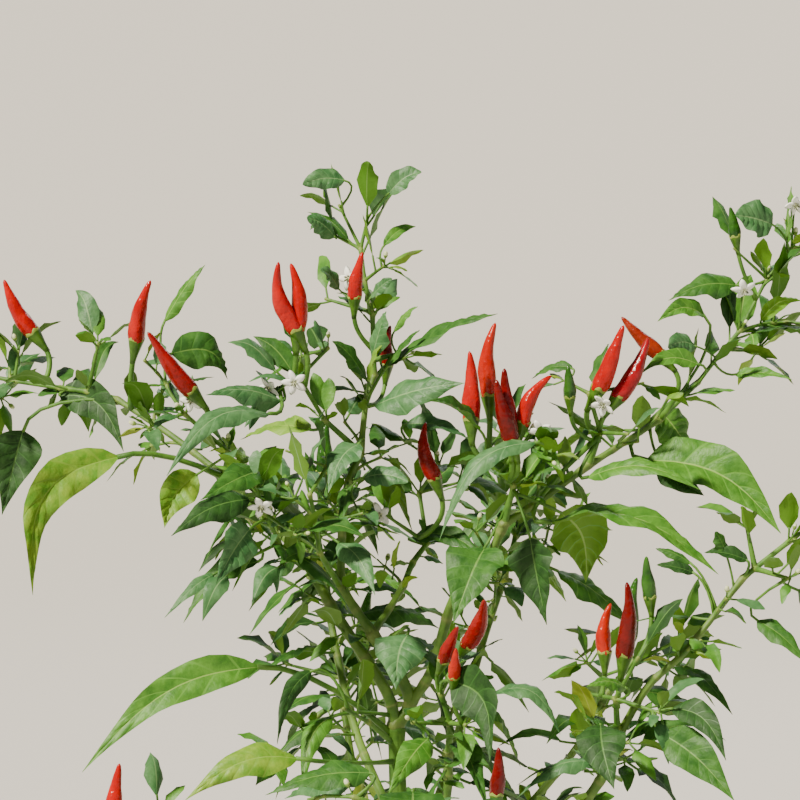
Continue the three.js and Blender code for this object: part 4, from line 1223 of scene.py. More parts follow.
# A limb that starts so near the trunk's midline and below its fork has a collar there
limbLook = {
    "step": 1.4, "sides": 20, "swelling": 0.3, "swellingReach": 5, "collar": 0.5, "collarReach": 8,
    "nearTrunk": 5, "underFork": 240, "nodeSpacing": 27, "firstNode": 0.7, "lastNode": 9,
    "nodeSpread": (-5, 5), "nodeBump": 0.13, "nodeHalfWidth": 2.4, "endCork": 0.5,
    "endCorkReach": 3, "nodeCork": 0.6, "corkHalfWidth": 1.4, "ribs": 5, "ribDepth": 0.055,
    "ribTurn": 0.02, "knobs": 3, "knobTurn": 0.5, "knobRate": 0.31, "knobDepth": 0.03,
    "corkRidges": 7, "corkDepth": 0.05, "sunk": 1.5,
}

# The trunk's cracks are waves round it: each one's share, its number round, how far it follows the
# wander, and its turn with height. The wander is two waves: their sizes, rates and starts
trunkLook = {
    "step": 1.1, "sides": 60, "flareRadius": 4.6, "flareHeight": 14, "flareLobes": 5, "lobeDepth": 0.2,
    "collarReach": 5, "collar": 0.12, "wander": ((1.4, 0.06, 0), (0.7, 0.17, 1)),
    "cracks": ((1, 7, 1, 0), (0.7, 11, -1.3, 0.03), (0.5, 17, 0, 0.11)), "crackBreaks": 0.23,
    "crackDepth": 0.045, "leastCrack": 0.35, "crackHeight": 260, "topDome": 3.0, "domeRise": 0.4,
    "domeLeast": 0.02,
}


# The limb's radius at shares of the way along it, without its swellings
def taperOf(limb, along):
    return limb["radii"][0] + (limb["radii"][1] - limb["radii"][0]) * along


# A bough's skin: a tube along its curve. The radius is the taper, times 1 plus bell curves at its
# two ends, at its collar and at each joint where leaves have been. The relief is 1 plus ribs, a
# cosine five times round, plus knobs, two sines multiplied, plus ridges where there is cork
def addBough(gather, limb, random):
    along = np.linspace(0, 1, int(limb["length"] / limbLook["step"]))
    points = smoothCurve(limb["bends"], along)
    distance = along * limb["length"]
    fromEnd = np.minimum(distance, limb["length"] - distance)
    isNearTrunk = np.linalg.norm(points[0][:2]) < limbLook["nearTrunk"]
    isOnTrunk = isNearTrunk and points[0][2] < limbLook["underFork"]
    collar = limbLook["collar"] * np.exp(-(distance / limbLook["collarReach"]) ** 2) if isOnTrunk else 0
    swollen = limbLook["swelling"] * np.exp(-(fromEnd / limbLook["swellingReach"]) ** 2)
    spacing = limbLook["nodeSpacing"]
    spots = np.arange(spacing * limbLook["firstNode"], limb["length"] - limbLook["lastNode"], spacing)
    spots = spots + random.uniform(*limbLook["nodeSpread"], len(spots))
    rings = bumpsAt(distance, spots, limbLook["nodeHalfWidth"])
    radii = taperOf(limb, along) * (1 + swollen + collar + limbLook["nodeBump"] * rings)
    cork = limbLook["endCork"] * np.exp(-(fromEnd / limbLook["endCorkReach"]) ** 2)
    cork = np.clip(cork + limbLook["nodeCork"] * bumpsAt(distance, spots, limbLook["corkHalfWidth"]), 0, 1)
    points[0] -= unit(points[1] - points[0]) * limbLook["sunk"]
    points, radii = withDomes(points, radii)
    cork, corkValues = corkOfTube(cork, limbLook["sides"])
    distance = np.linspace(0, limb["length"], len(points))[:, None]
    angle = roundAngles(limbLook["sides"])[None]
    start = random.uniform(*anyPhase)
    ribs = np.cos(limbLook["ribs"] * angle + start + distance * limbLook["ribTurn"])
    knobs = np.sin(limbLook["knobs"] * angle + distance * limbLook["knobTurn"] + start)
    knobs = knobs * np.sin(distance * limbLook["knobRate"]) * limbLook["knobDepth"]
    ridges = limbLook["corkDepth"] * cork[:, None] * np.sin(limbLook["corkRidges"] * angle + distance)
    relief = 1 + limbLook["ribDepth"] * ribs + knobs + ridges
    gather.add(*tubeShape(points[None], radii[None], limbLook["sides"], relief[None]), 0, 0, corkValues)


# The trunk's skin: level rings along its curve. The radius is the taper, times lobes and a flare
# that fade with e to the minus height, times 1 plus bell curves at the fork and at the low boughs
# and the cracks' waves, times the square root of the distance to the top over the last few
# millimetres, which closes it in a dome
def addTrunk(gather, limb):
    along = np.linspace(0, 1, int(limb["length"] / trunkLook["step"]))
    points = smoothCurve(limb["bends"], along)
    points[0, 2] = 0
    height = points[:, 2][:, None]
    angle = roundAngles(trunkLook["sides"])[None]
    nearGround = np.exp(-height / trunkLook["flareHeight"])
    lobes = 1 + trunkLook["lobeDepth"] * nearGround * np.cos(trunkLook["flareLobes"] * angle)
    flare = 1 + trunkLook["flareRadius"] / limb["radii"][0] * nearGround
    fork = limbLook["swelling"] * np.exp(-((points[-1, 2] - height) / limbLook["swellingReach"]) ** 2)
    starts = np.array([plan["points"][0][2] for plan in limbPlans[1:]], float)
    starts = starts[starts < limbLook["underFork"]]
    collars = bumpsAt(points[:, 2], starts, trunkLook["collarReach"])[:, None] * trunkLook["collar"]
    wander = sum(size * np.sin(height * rate + start) for size, rate, start in trunkLook["wander"])
    waves = [
        share * np.cos(count * angle + follow * wander + height * turn)
        for share, count, follow, turn in trunkLook["cracks"]
    ]
    cracks = waves[0] + waves[1] + waves[2] * np.sin(height * trunkLook["crackBreaks"])
    nearFoot = np.clip(1 - height / trunkLook["crackHeight"], 0, 1)
    fade = trunkLook["leastCrack"] + (1 - trunkLook["leastCrack"]) * nearFoot
    depth = trunkLook["crackDepth"] * cracks * fade
    fromTop = (points[-1, 2] + trunkLook["domeRise"] - height) / trunkLook["topDome"]
    dome = np.sqrt(np.clip(fromTop, trunkLook["domeLeast"], 1))
    radii = taperOf(limb, along[:, None]) * lobes * flare * (1 + fork + collars + depth) * dome
    side = np.array([[1.0, 0.0, 0.0]])
    over = np.array([[0.0, 1.0, 0.0]])
    gather.add(*ringShape(points[None], side, over, radii[None]), 0, 0)


trunkSkin = Gather()
addTrunk(trunkSkin, limbs["trunk"])
boughSkin = Gather()
boughRandom = np.random.default_rng(7)
boughNames = [plan["name"] for plan in limbPlans[1:]]
for name in boughNames:
    addBough(boughSkin, limbs[name], boughRandom)
makePiece("trunk_bark", trunkSkin, [barkMaterial], ["trunk"])
makePiece("bough_bark", boughSkin, [stemMaterial], boughNames)

masses = [growMass(plan, limbs) for plan in massPlans]
masses += [
    growOnBough(limbs[name], limbs, order + fineRule["boughSeed"]) for order, name in enumerate(boughNames)
]
massNames = [plan["name"] for plan in massPlans]
clearLines = linesToClear(massPlans)
allLeaves = [
    leaf for mass in masses for leaf in mass["leaves"] if leaf.get("named") or leavesFree(leaf, clearLines)
]
allFruits = [fruit for mass in masses for fruit in mass["fruits"]]
allFlowers = [flower for mass in masses for flower in mass["flowers"]]
allBuds = [bud for mass in masses for bud in mass["buds"]]
print("masses grown:", len(allLeaves), "leaves", len(allFruits), "fruits", len(allBuds), "buds")

# Where a leaf's side veins leave its midrib, and the middles of the fields between them
veinPlaces = np.arange(0.1, 0.95, 0.13)
veinHalfWidth = 0.0065
quiltPlaces = (veinPlaces[:-1] + veinPlaces[1:]) / 2

# How the leaves are shaped. Their sizes are shares of a leaf's length or width, but the
# thickness, rib, neck and rim, which are millimetres
leafLook = {
    "sweep": 0.17, "fold": (0.1, 0.6), "cup": (-0.8, 0.0), "wave": 0.2, "waves": 2.6, "wavePower": 3,
    "twist": 0.9, "twistFrom": 0.4, "sway": 0.06, "arch": (0.04, 0.2), "namedArch": (0.07, 0.13),
    "thickness": 0.32, "rib": 0.9, "ribTaper": 0.85, "ribLeast": 0.25, "ribLength": 90,
    "ribColumns": 0.1, "quilt": 0.07, "bluntUnder": 14, "bluntRange": 18,
    "tipPower": (0.78, -0.16), "widthPower": (0.72, 0.5), "neck": 0.45, "neckPower": 10,
    "rim": 0.12, "sameRow": 0.001,
}
leafSizes = {"largeOver": 40, "matureOver": 23}
leafLayouts = {
    "leaves_large": {
        "rows": np.sort(np.concatenate([
            [0, 0.045, 0.94, 1], veinPlaces - veinHalfWidth, veinPlaces + veinHalfWidth, quiltPlaces])),
        "columns": np.array([-1, -0.7, -0.35, -0.035, 0.035, 0.35, 0.7, 1]),
    },
    "leaves_mature": {
        "rows": np.linspace(0, 1, 10),
        "columns": np.array([-1, -0.5, -0.05, 0.05, 0.5, 1]),
    },
    "leaves_young": {
        "rows": np.array([0, 0.14, 0.33, 0.54, 0.74, 0.9, 1]),
        "columns": np.array([-1, -0.45, 0.0, 0.45, 1]),
    },
}


# Which of the three pieces a leaf is in: the named and the largest have the finest sheets
def layoutOf(leaf):
    length = np.linalg.norm(leaf["tip"] - leaf["base"])
    if leaf.get("named") or length > leafSizes["largeOver"]:
        return "leaves_large"
    return "leaves_mature" if length > leafSizes["matureOver"] else "leaves_young"


# Which tone a leaf is made in: small leaves are brighter than old ones
def toneOf(leaf):
    if leaf.get("toneName"):
        return toneNames.index(leaf["toneName"])
    if leaf["isYellowing"]:
        return toneNames.index("yellowing")
    names = ["mature", "waxy", "fresh", "young"]
    if np.linalg.norm(leaf["tip"] - leaf["base"]) > leafSizes["matureOver"]:
        names = ["shade", "mature", "waxy", "fresh"]
    return toneNames.index(names[min(len(names) - 1, int(leaf["tone"] * len(names)))])


# Both sides of a leaf's sheet, which share the vertices of its rim
def leafFaces(rows, columns):
    upper = np.arange(rows * columns).reshape(rows, columns)
    lower = upper.copy()
    inner = np.arange((rows - 2) * (columns - 2)).reshape(rows - 2, columns - 2)
    lower[1:-1, 1:-1] = rows * columns + inner
    near = [upper[:-1, :-1], upper[:-1, 1:], upper[1:, 1:], upper[1:, :-1]]
    far = [lower[:-1, :-1], lower[1:, :-1], lower[1:, 1:], lower[:-1, 1:]]
    quads = np.concatenate([np.stack(side, axis=-1).reshape(-1, 4) for side in (near, far)])
    rims = np.zeros(rows * columns + inner.size, bool)
    rims[upper[[0, -1]].ravel()] = True
    rims[upper[:, [0, -1]].ravel()] = True
    return quads, rims


# The sheets of many leaves, over the share of the way along a blade and its columns across.
# The half width is the sine of half a turn times the share to the tip power, all to the width
# power. On a grown leaf the first power is lower and the second higher, which broadens it below
# the middle and draws out its tip. Across it the halves rise by the fold times the distance from
# the midrib and fall by the cup times its square, their rims wave, and the fields between the
# veins are raised as a parabola. The midline is the chord plus the arch, bow and sway, times the
# sine of half a turn times the share. The lower side is the upper one, moved in by the thickness
# and by the rib under the midrib
def addLeaves(gather, leaves, layout, random):
    rows = layout["rows"]
    columns = layout["columns"]
    number = len(leaves)
    base = valuesOf(leaves, "base")
    chord = valuesOf(leaves, "tip") - base
    length = np.linalg.norm(chord, axis=1)[:, None, None]
    width = valuesOf(leaves, "width")[:, None, None]
    roll = valuesOf(leaves, "roll")[:, None]
    heading = units(chord)
    level = units(np.cross(heading, up) + [tiny["nudge"], 0, 0])
    side = level * np.cos(roll) + np.cross(heading, level) * np.sin(roll)
    edge = np.abs(columns)[None, None, :]
    share = rows[None, :, None] + leafLook["sweep"] * edge * np.sin(math.pi * rows)[None, :, None]
    share = np.broadcast_to(share, (number, len(rows), len(columns)))
    named = valuesOf(leaves, "named", False)[:, None, None]
    namedArch = drawEach(random, leafLook["namedArch"], number)
    arch = np.where(named, namedArch, drawEach(random, leafLook["arch"], number)) * length
    bow = valuesOf(leaves, "bow", (0, 0, 0)).astype(float)[:, None, None]
    sway = drawEach(random, eitherWay, number) * leafLook["sway"] * length
    bow = bow + up * arch[..., None] + side[:, None, None] * sway[..., None]
    middle = base[:, None, None] + chord[:, None, None] * share[..., None]
    middle = middle + bow * np.sin(math.pi * share)[..., None]
    tangent = units(chord[:, None, None] + bow * math.pi * np.cos(math.pi * share)[..., None])
    across = side[:, None, None] - tangent * (side[:, None, None] * tangent).sum(-1, keepdims=True)
    across = units(across)
    normal = np.cross(across, tangent)
    twist = drawEach(random, eitherWay, number) * leafLook["twist"]
    turn = (twist * (share - leafLook["twistFrom"]))[..., None]
    across = across * np.cos(turn) + normal * np.sin(turn)
    normal = np.cross(across, tangent)
    isBlunt = valuesOf(leaves, "isBlunt", False)[:, None, None]
    grown = ((length - leafLook["bluntUnder"]) / leafLook["bluntRange"]).clip(0, 1) * ~isBlunt
    tipPower, widthPower = (
        start + change * grown for start, change in (leafLook["tipPower"], leafLook["widthPower"]))
    profile = np.sin(math.pi * np.clip(share, 0, 1) ** tipPower).clip(0) ** widthPower
    neck = leafLook["neck"] * (1 - share).clip(0) ** leafLook["neckPower"]
    half = width / 2 * profile + neck + leafLook["rim"]
    fold = drawEach(random, leafLook["fold"], number) * edge
    fold = fold + drawEach(random, leafLook["cup"], number) * edge ** 2
    apart = np.where(columns < 0, 1, 0)[None, None, :] * drawEach(random, anyPhase, number)
    phase = apart + drawEach(random, anyPhase, number)
    wave = leafLook["wave"] * edge ** leafLook["wavePower"]
    wave = wave * np.sin(2 * math.pi * leafLook["waves"] * share + phase)
    lift = half * fold + width / 2 * wave * profile
    quilted = np.isin(rows, quiltPlaces)[None, :, None] * edge * (1 - edge) * 4
    lift = lift + quilted * width * leafLook["quilt"]
    places = middle + across * (columns[None, None, :] * half)[..., None] + normal * lift[..., None]
    ribbed = (edge < leafLook["ribColumns"]) * leafLook["rib"] * (1 - leafLook["ribTaper"] * share)
    ribbed = ribbed * (leafLook["ribLeast"] + length / leafLook["ribLength"])
    depth = leafLook["thickness"] + ribbed
    lower = (places - normal * depth[..., None])[:, 1:-1, 1:-1]
    quads, rims = leafFaces(len(rows), len(columns))
    isByRib = np.abs(columns) < leafLook["ribColumns"]
    inRib = isByRib[:-1] & isByRib[1:]
    fields = (rows[:-1] + rows[1:]) / 2
    inVein = np.array([np.min(np.abs(veinPlaces - place)) < leafLook["sameRow"] for place in fields])
    rib = np.broadcast_to(inRib[None, :], (len(rows) - 1, len(columns) - 1)).ravel()
    vein = np.broadcast_to(inVein[:, None], (len(rows) - 1, len(columns) - 1)).ravel()

    def kindOf(skin):
        return np.where(rib, leafKinds["midrib"], np.where(vein, leafKinds["vein"], leafKinds[skin]))

    kinds = np.concatenate([kindOf("upper"), kindOf("under")])
    tones = np.array([toneOf(leaf) for leaf in leaves])[:, None]
    every = np.concatenate([places.reshape(number, -1, 3), lower.reshape(number, -1, 3)], axis=1)
    gather.add(every, quads, np.zeros((0, 3), int), kinds[None] + len(leafKinds) * tones, 0, None, rims)


leafRandom = np.random.default_rng(31)
for layoutName, layout in leafLayouts.items():
    sheets = Gather()
    chosen = [leaf for leaf in allLeaves if layoutOf(leaf) == layoutName]
    addLeaves(sheets, chosen, layout, leafRandom)
    makePiece(layoutName, sheets, leafMaterials, massNames)

# Twigs, petioles and the stalks of fruit, flowers and buds, all of one green skin. A shoot whose
# end has no other shoot near it is free, and tapers there
stalkLook = {
    "sides": 8, "perJoint": 7, "jointBump": 0.3, "jointHalfWidth": 1.8, "girth": 1.55, "tipTaper": 0.4,
    "freeRoom": 3.0, "twigletPoints": 3, "lostReach": 0.1, "footSwelling": 0.5, "footReach": 0.12,
    "petioleSides": 5, "petioleSteps": 6, "petioleLean": 0.28, "petioleBend": 0.5, "longBend": 0.34,
    "petioleLeast": 0.32, "petioleGrowth": 0.011, "petioleMost": 1.2, "longGirth": 1.25,
    "petioleSunk": 0.8, "pedicel": 1.45, "pedicelSides": 8, "pedicelSteps": 9, "pedicelBend": 0.45,
    "pedicelEnd": 0.75, "flowerStalk": 0.55, "flowerSides": 6, "flowerSteps": 9, "flowerLift": 5,
    "flowerBend": 0.4, "budStalk": 0.4, "budSides": 5, "budSteps": 5, "budLift": 0.8,
}


# A shoot's skin: a tube along its curve. The radius runs straight from joint to joint, times 1 less
# the tip's taper times the square of the share along, if it is free, times 1 plus a bell curve at
# each joint
def addShoot(gather, points, radii, isFree=False):
    joints = len(points) - 1
    along = np.linspace(0, 1, joints * stalkLook["perJoint"] + 1)
    path = smoothCurve(points, along)
    distance = np.concatenate([[0], np.cumsum(np.linalg.norm(np.diff(path, axis=0), axis=1))])
    thick = np.interp(along, np.linspace(0, 1, joints + 1), radii)
    if isFree:
        thick = thick * (1 - stalkLook["tipTaper"] * along ** 2)
    marks = distance[::stalkLook["perJoint"]]
    bumps = bumpsAt(distance, marks, stalkLook["jointHalfWidth"])
    path, thick = withDomes(path, thick * (1 + stalkLook["jointBump"] * bumps))
    _, cork = corkOfTube(bumps.clip(0, 1), stalkLook["sides"])
    gather.add(*tubeShape(path[None], thick[None], stalkLook["sides"]), 0, 0, cork)


# Stalks of many leaves, fruits or buds at once: a tube along each one's quadratic curve, with the
# radius times 1 plus half a bell curve at its foot
def addStalks(gather, start, control, end, radius, sides, steps):
    along = np.linspace(0, 1, steps)[None, :, None]
    path = bentCurve(start[:, None], control[:, None], end[:, None], along)
    swell = 1 + stalkLook["footSwelling"] * np.exp(-(along[..., 0] / stalkLook["footReach"]) ** 2)
    gather.add(*tubeShape(path, radius[:, None] * swell, sides), 0, 0)


# The shoots with their joints, and the twiglets. One that has lost the leaves at its end to the
# room kept clear is left out
stalks = Gather()
roots = valuesOf(allLeaves, "root")
for mass in masses:
    shootStarts = np.array([points[0] for points, _ in mass["shoots"]])
    for points, radii in mass["shoots"]:
        isFree = np.linalg.norm(shootStarts - points[-1], axis=1).min() > stalkLook["freeRoom"]
        addShoot(stalks, points, radii * stalkLook["girth"], isFree)
    for start, control, end in mass["twiglets"]:
        if np.linalg.norm(roots - end, axis=1).min() > stalkLook["lostReach"]:
            continue
        path = bentCurve(start, control, end, np.linspace(0, 1, stalkLook["twigletPoints"])[:, None])
        addShoot(stalks, path, np.full(len(path), fineRule["twigletRadius"]))

# The petioles: each bends into its blade's midline and ends a little inside it
bases = valuesOf(allLeaves, "base")
chords = valuesOf(allLeaves, "tip") - bases
lengths = np.linalg.norm(chords, axis=1)
bows = valuesOf(allLeaves, "bow", (0, 0, 0)).astype(float)
leanings = units(units(chords) + up * stalkLook["petioleLean"] + bows * math.pi / lengths[:, None])
reaches = np.linalg.norm(bases - roots, axis=1)[:, None]
isLong = valuesOf(allLeaves, "isLimbRooted", False)
bends = np.where(isLong, stalkLook["longBend"], stalkLook["petioleBend"])[:, None]
petioleRadii = stalkLook["petioleLeast"] + stalkLook["petioleGrowth"] * lengths
petioleRadii = np.minimum(petioleRadii, stalkLook["petioleMost"]) * np.where(
    isLong, stalkLook["longGirth"], 1)
addStalks(
    stalks, roots, bases - leanings * reaches * bends, bases + leanings * stalkLook["petioleSunk"],
    petioleRadii, stalkLook["petioleSides"], stalkLook["petioleSteps"])

# The fruit and its calyx, each as rings round the fruit's axis. A fruit's wrinkles are waves: each
# one's share, its number round, and its rate along
fruitLook = {
    "radius": 4.55, "fullLength": 34, "leastGirth": 0.4, "sides": 16, "rings": 32, "crowd": 0.85,
    "neck": 0.05, "bend": 0.03, "hook": 0.07, "wrinkle": 0.05,
    "wrinkles": ((1, 3, 5), (0.8, 0, 14), (0.6, 5, 9)), "wrinkleBreaks": 24,
}
calyxLook = {
    "length": 11.5, "leastSize": 0.45, "sides": 20, "lead": 2.2, "teeth": 5, "toothHeight": 0.7,
    "toothFrom": 2, "ribDepth": 0.04, "rimFrom": -0.5,
}

# The share of the fruit's length and of its radius
fruitProfile = np.array([
    [-0.05, 0.5], [0.0, 0.82], [0.05, 0.92], [0.12, 0.98], [0.24, 1.0], [0.36, 0.95], [0.48, 0.85],
    [0.6, 0.71], [0.72, 0.56], [0.82, 0.44], [0.9, 0.34], [0.96, 0.25], [0.99, 0.14], [1.0, 0.05],
])

# The distance past the fruit's base and the radius there, in millimetres, out and back inside
calyxProfile = np.array([
    [-11.5, 1.5], [-9.0, 1.75], [-6.5, 2.25], [-4.5, 2.75], [-2.4, 3.3], [-0.6, 3.75], [0.8, 4.1],
    [2.0, 4.35], [2.4, 4.2], [1.6, 3.7], [-0.6, 2.6],
])


# Each fruit's base, its chord, and the axis of its chord or, with a lead, of its bowed base
def fruitFrames(fruits, lead=0.0):
    base = valuesOf(fruits, "base")
    chord = valuesOf(fruits, "tip") - base
    axis = units(chord + valuesOf(fruits, "bow").astype(float) * lead)
    return base, chord, axis, *squareTo(axis)


# How full a fruit or calyx is for the fruit's length, from the least up to 1
def fullness(chord, least):
    return least + (1 - least) * np.minimum(1, np.linalg.norm(chord, axis=1) / fruitLook["fullLength"])


# Fruits: rings whose radius is the profile times 1 plus the wrinkles' waves, round a chord that
# bends to one side and hooks to the other by sines of half a turn times the share along it
def addFruits(gather, fruits, random):
    base, chord, _, side, over = fruitFrames(fruits)
    number = len(fruits)
    length = np.linalg.norm(chord, axis=1)
    neck = fruitLook["neck"]
    share = np.linspace(0, 1, fruitLook["rings"]) ** fruitLook["crowd"] * (1 + neck) - neck
    profile = np.interp(share, *fruitProfile.T)
    angle = roundAngles(fruitLook["sides"])[None, None]
    along = share[None, :, None]
    waves = [
        size * np.sin(count * angle + rate * along + drawEach(random, anyPhase, number))
        for size, count, rate in fruitLook["wrinkles"]
    ]
    wrinkles = waves[0] + waves[1] + waves[2] * np.sin(fruitLook["wrinkleBreaks"] * along)
    girth = fruitLook["radius"] * fullness(chord, fruitLook["leastGirth"])
    radii = girth[:, None, None] * profile[None, :, None] * (1 + fruitLook["wrinkle"] * wrinkles)
    arc = np.sin(math.pi * along.clip(0))
    bend = drawEach(random, eitherWay, number) * fruitLook["bend"] * arc
    hook = drawEach(random, eitherWay, number) * fruitLook["hook"] * arc * along
    lean = bend * length[:, None, None] * side[:, None] + hook * length[:, None, None] * over[:, None]
    lean = lean + valuesOf(fruits, "bow").astype(float)[:, None] * arc
    centres = base[:, None] + chord[:, None] * along + lean
    kinds = np.array([fruitKinds.index(fruit["kind"]) for fruit in fruits])[:, None]
    gather.add(*ringShape(centres, side, over, radii), kinds, kinds)


# Calyces: rings at the profile's distances and radii, times 1 plus ribs, a cosine five times round,
# and with a rim that rises and falls by the same cosine as blunt teeth
def addCalyces(gather, fruits, random):
    base, chord, axis, side, over = fruitFrames(fruits, calyxLook["lead"])
    scale = fullness(chord, calyxLook["leastSize"])[:, None, None]
    angle = roundAngles(calyxLook["sides"])[None, None]
    distance, radius = calyxProfile.T[:, None, :, None]
    toothed = np.clip(distance / calyxLook["toothFrom"], 0, 1) * calyxLook["toothHeight"]
    start = drawEach(random, anyPhase, len(fruits))
    rise = toothed * np.cos(calyxLook["teeth"] * angle + start)
    radii = radius * scale * (1 + calyxLook["ribDepth"] * np.cos(calyxLook["teeth"] * angle))
    centres = base[:, None] + axis[:, None] * (distance * scale)
    sheet = ringShape(centres, side, over, radii, np.broadcast_to(rise, radii.shape))
    isRim = calyxProfile[:-1, 0] > calyxLook["rimFrom"]
    gather.add(*sheet, np.repeat(np.where(isRim, 1, 0), calyxLook["sides"]), 0)


fruitRandom = np.random.default_rng(59)
fruitSheets = Gather()
calyxSheets = Gather()
addFruits(fruitSheets, allFruits, fruitRandom)
addCalyces(calyxSheets, allFruits, fruitRandom)
makePiece("fruits", fruitSheets, fruitMaterials)
makePiece("calyces", calyxSheets, calyxMaterials)
fruitRoots = valuesOf(allFruits, "root")
fruitBases, fruitChords, fruitAxes, _, _ = fruitFrames(allFruits, calyxLook["lead"])
calyxSizes = fullness(fruitChords, calyxLook["leastSize"])
stalkEnds = fruitBases - fruitAxes * calyxLook["length"] * stalkLook["pedicelEnd"] * calyxSizes[:, None]
reaches = np.linalg.norm(stalkEnds - fruitRoots, axis=1)[:, None]
addStalks(
    stalks, fruitRoots, stalkEnds - fruitAxes * reaches * stalkLook["pedicelBend"], stalkEnds,
    stalkLook["pedicel"] * calyxSizes, stalkLook["pedicelSides"], stalkLook["pedicelSteps"])

# The nodding stars: five pointed petals fused round a pale throat, with grey anthers and a style.
# The levels are the rings of a flower's sheet as shares of its outline, out in front and back
# behind. Reaches from the centre are pairs, out to the side and along the axis
flowerLook = {
    "facing": (-0.15, -0.8, -0.35), "facingSpread": 0.4, "petals": 5, "petal": 6.9, "throat": 3.1,
    "petalRoundness": 1.15, "sides": 50, "cupping": (-2.4, 2.2), "curl": 0.9, "curlRate": 3,
    "levels": (0.08, 0.3, 0.55, 0.8, 1.0, 0.8, 0.55, 0.3, 0.08), "rimLevel": 4, "thickness": 0.32,
    "ridge": 0.3, "throatUnder": 0.4, "antherTurn": 0.6, "antherFoot": (0.9, 0.6),
    "antherEnd": (1.7, 2.6), "antherRadii": (0.2, 0.25, 0.5, 0.55, 0.25), "style": (0.2, 4.0),
    "styleRadius": 0.2, "stylePoints": 4, "tubeSides": 6, "back": 0.8,
}


# Flowers: a sheet of rings. Its outline is the throat plus the rest of the petal's length, times 1
# less the distance from a petal's middle to the power of its roundness. It rises with the square
# of the distance from the centre, with the sine of the level, and along each petal's ridge. The
# anthers and the style are tubes along straight lines
def addFlowers(gather, flowers, random):
    number = len(flowers)
    centre = valuesOf(flowers, "centre")
    spread = flowerLook["facingSpread"]
    axis = units(np.array([flowerLook["facing"]]) + random.uniform(-spread, spread, (number, 3)))
    side, over = squareTo(axis)
    sides = flowerLook["sides"]
    turn = np.arange(sides) / sides * flowerLook["petals"]
    offMiddle = np.abs(turn - np.round(turn)) * 2
    tip = 1 - offMiddle ** flowerLook["petalRoundness"]
    reach = flowerLook["throat"] + (flowerLook["petal"] - flowerLook["throat"]) * tip
    levels = np.array(flowerLook["levels"])
    behind = np.where(np.arange(len(levels)) >= flowerLook["rimLevel"], 0.0, -flowerLook["thickness"])
    shape = levels[:, None] * reach[None]
    cupping = drawEach(random, flowerLook["cupping"], number)
    curled = cupping * (shape / flowerLook["petal"]) ** 2
    curled = curled + flowerLook["curl"] * np.sin(levels * flowerLook["curlRate"])[:, None]
    ridge = flowerLook["ridge"] * (1 - offMiddle)[None] * levels[:, None]
    rise = curled + behind[:, None] + ridge
    radii = np.broadcast_to(shape, rise.shape)
    centres = np.broadcast_to(centre[:, None], (number, len(levels), 3))
    inThroat = np.repeat(np.where(levels[:-1] < flowerLook["throatUnder"], 1, 0), sides)
    gather.add(*ringShape(centres, side, over, radii, rise), inThroat, 1)

    def reached(out, place):
        return centre + out * place[0] + axis * place[1]

    antherRadii = np.array(flowerLook["antherRadii"])
    steps = np.linspace(0, 1, len(antherRadii))[None, :, None]
    for spoke in roundAngles(flowerLook["petals"]) + flowerLook["antherTurn"]:
        out = side * math.cos(spoke) + over * math.sin(spoke)
        foot = reached(out, flowerLook["antherFoot"])
        end = reached(out, flowerLook["antherEnd"])
        path = foot[:, None] + (end - foot)[:, None] * steps
        radius = np.broadcast_to(antherRadii, (number, len(antherRadii)))
        gather.add(*tubeShape(path, radius, flowerLook["tubeSides"]), 2, 2)
    heights = np.linspace(*flowerLook["style"], flowerLook["stylePoints"])[None, :, None]
    style = centre[:, None] + axis[:, None] * heights
    radius = np.full((number, flowerLook["stylePoints"]), flowerLook["styleRadius"])
    gather.add(*tubeShape(style, radius, flowerLook["tubeSides"]), 1, 1)
    return centre - axis * flowerLook["back"]


flowerSheets = Gather()
flowerBacks = addFlowers(flowerSheets, allFlowers, np.random.default_rng(71))
makePiece("flowers", flowerSheets, flowerMaterials)
flowerRoots = valuesOf(allFlowers, "root")
flowerBows = between(flowerBacks, flowerRoots, stalkLook["flowerBend"]) + up * stalkLook["flowerLift"]
addStalks(
    stalks, flowerRoots, flowerBows, flowerBacks, np.full(len(allFlowers), stalkLook["flowerStalk"]),
    stalkLook["flowerSides"], stalkLook["flowerSteps"])

# The buds: the angles from the bottom of a bud's ball to its top as shares of half a turn, the
# distance of its middle and its half height past the stalk's end, and its radius
budLook = {
    "turns": (0.08, 0.94), "rings": 7, "middle": 1.5, "halfHeight": 1.75, "radius": 1.2, "sides": 8,
    "cupPlaces": (-0.9, -0.4, 0.3, 1.0, 1.1, 0.5), "cupRadii": (0.4, 0.8, 1.15, 1.3, 1.1, 0.6),
}


# Round pale buds, each in a small cup: rings at the middle less the half height times the cosine
# of their angle, with the radius times its sine, and a cup of rings with its own distances
def addBuds(gather, buds):
    start = np.array([bud[0] for bud in buds])
    end = np.array([bud[1] for bud in buds])
    size = np.array([bud[2] for bud in buds])[:, None, None]
    axis = units(end - start)
    side, over = squareTo(axis)

    def addRings(distances, radii, kind):
        centres = end[:, None] + axis[:, None] * (distances[None, :, None] * size)
        radii = np.broadcast_to(radii[None, :, None] * size, (len(buds), len(radii), budLook["sides"]))
        gather.add(*ringShape(centres, side, over, radii), kind, kind)

    turn = np.linspace(*budLook["turns"], budLook["rings"]) * math.pi
    distances = budLook["middle"] - budLook["halfHeight"] * np.cos(turn)
    addRings(distances, budLook["radius"] * np.sin(turn), 0)
    addRings(np.array(budLook["cupPlaces"]), np.array(budLook["cupRadii"]), 1)
    return start, end


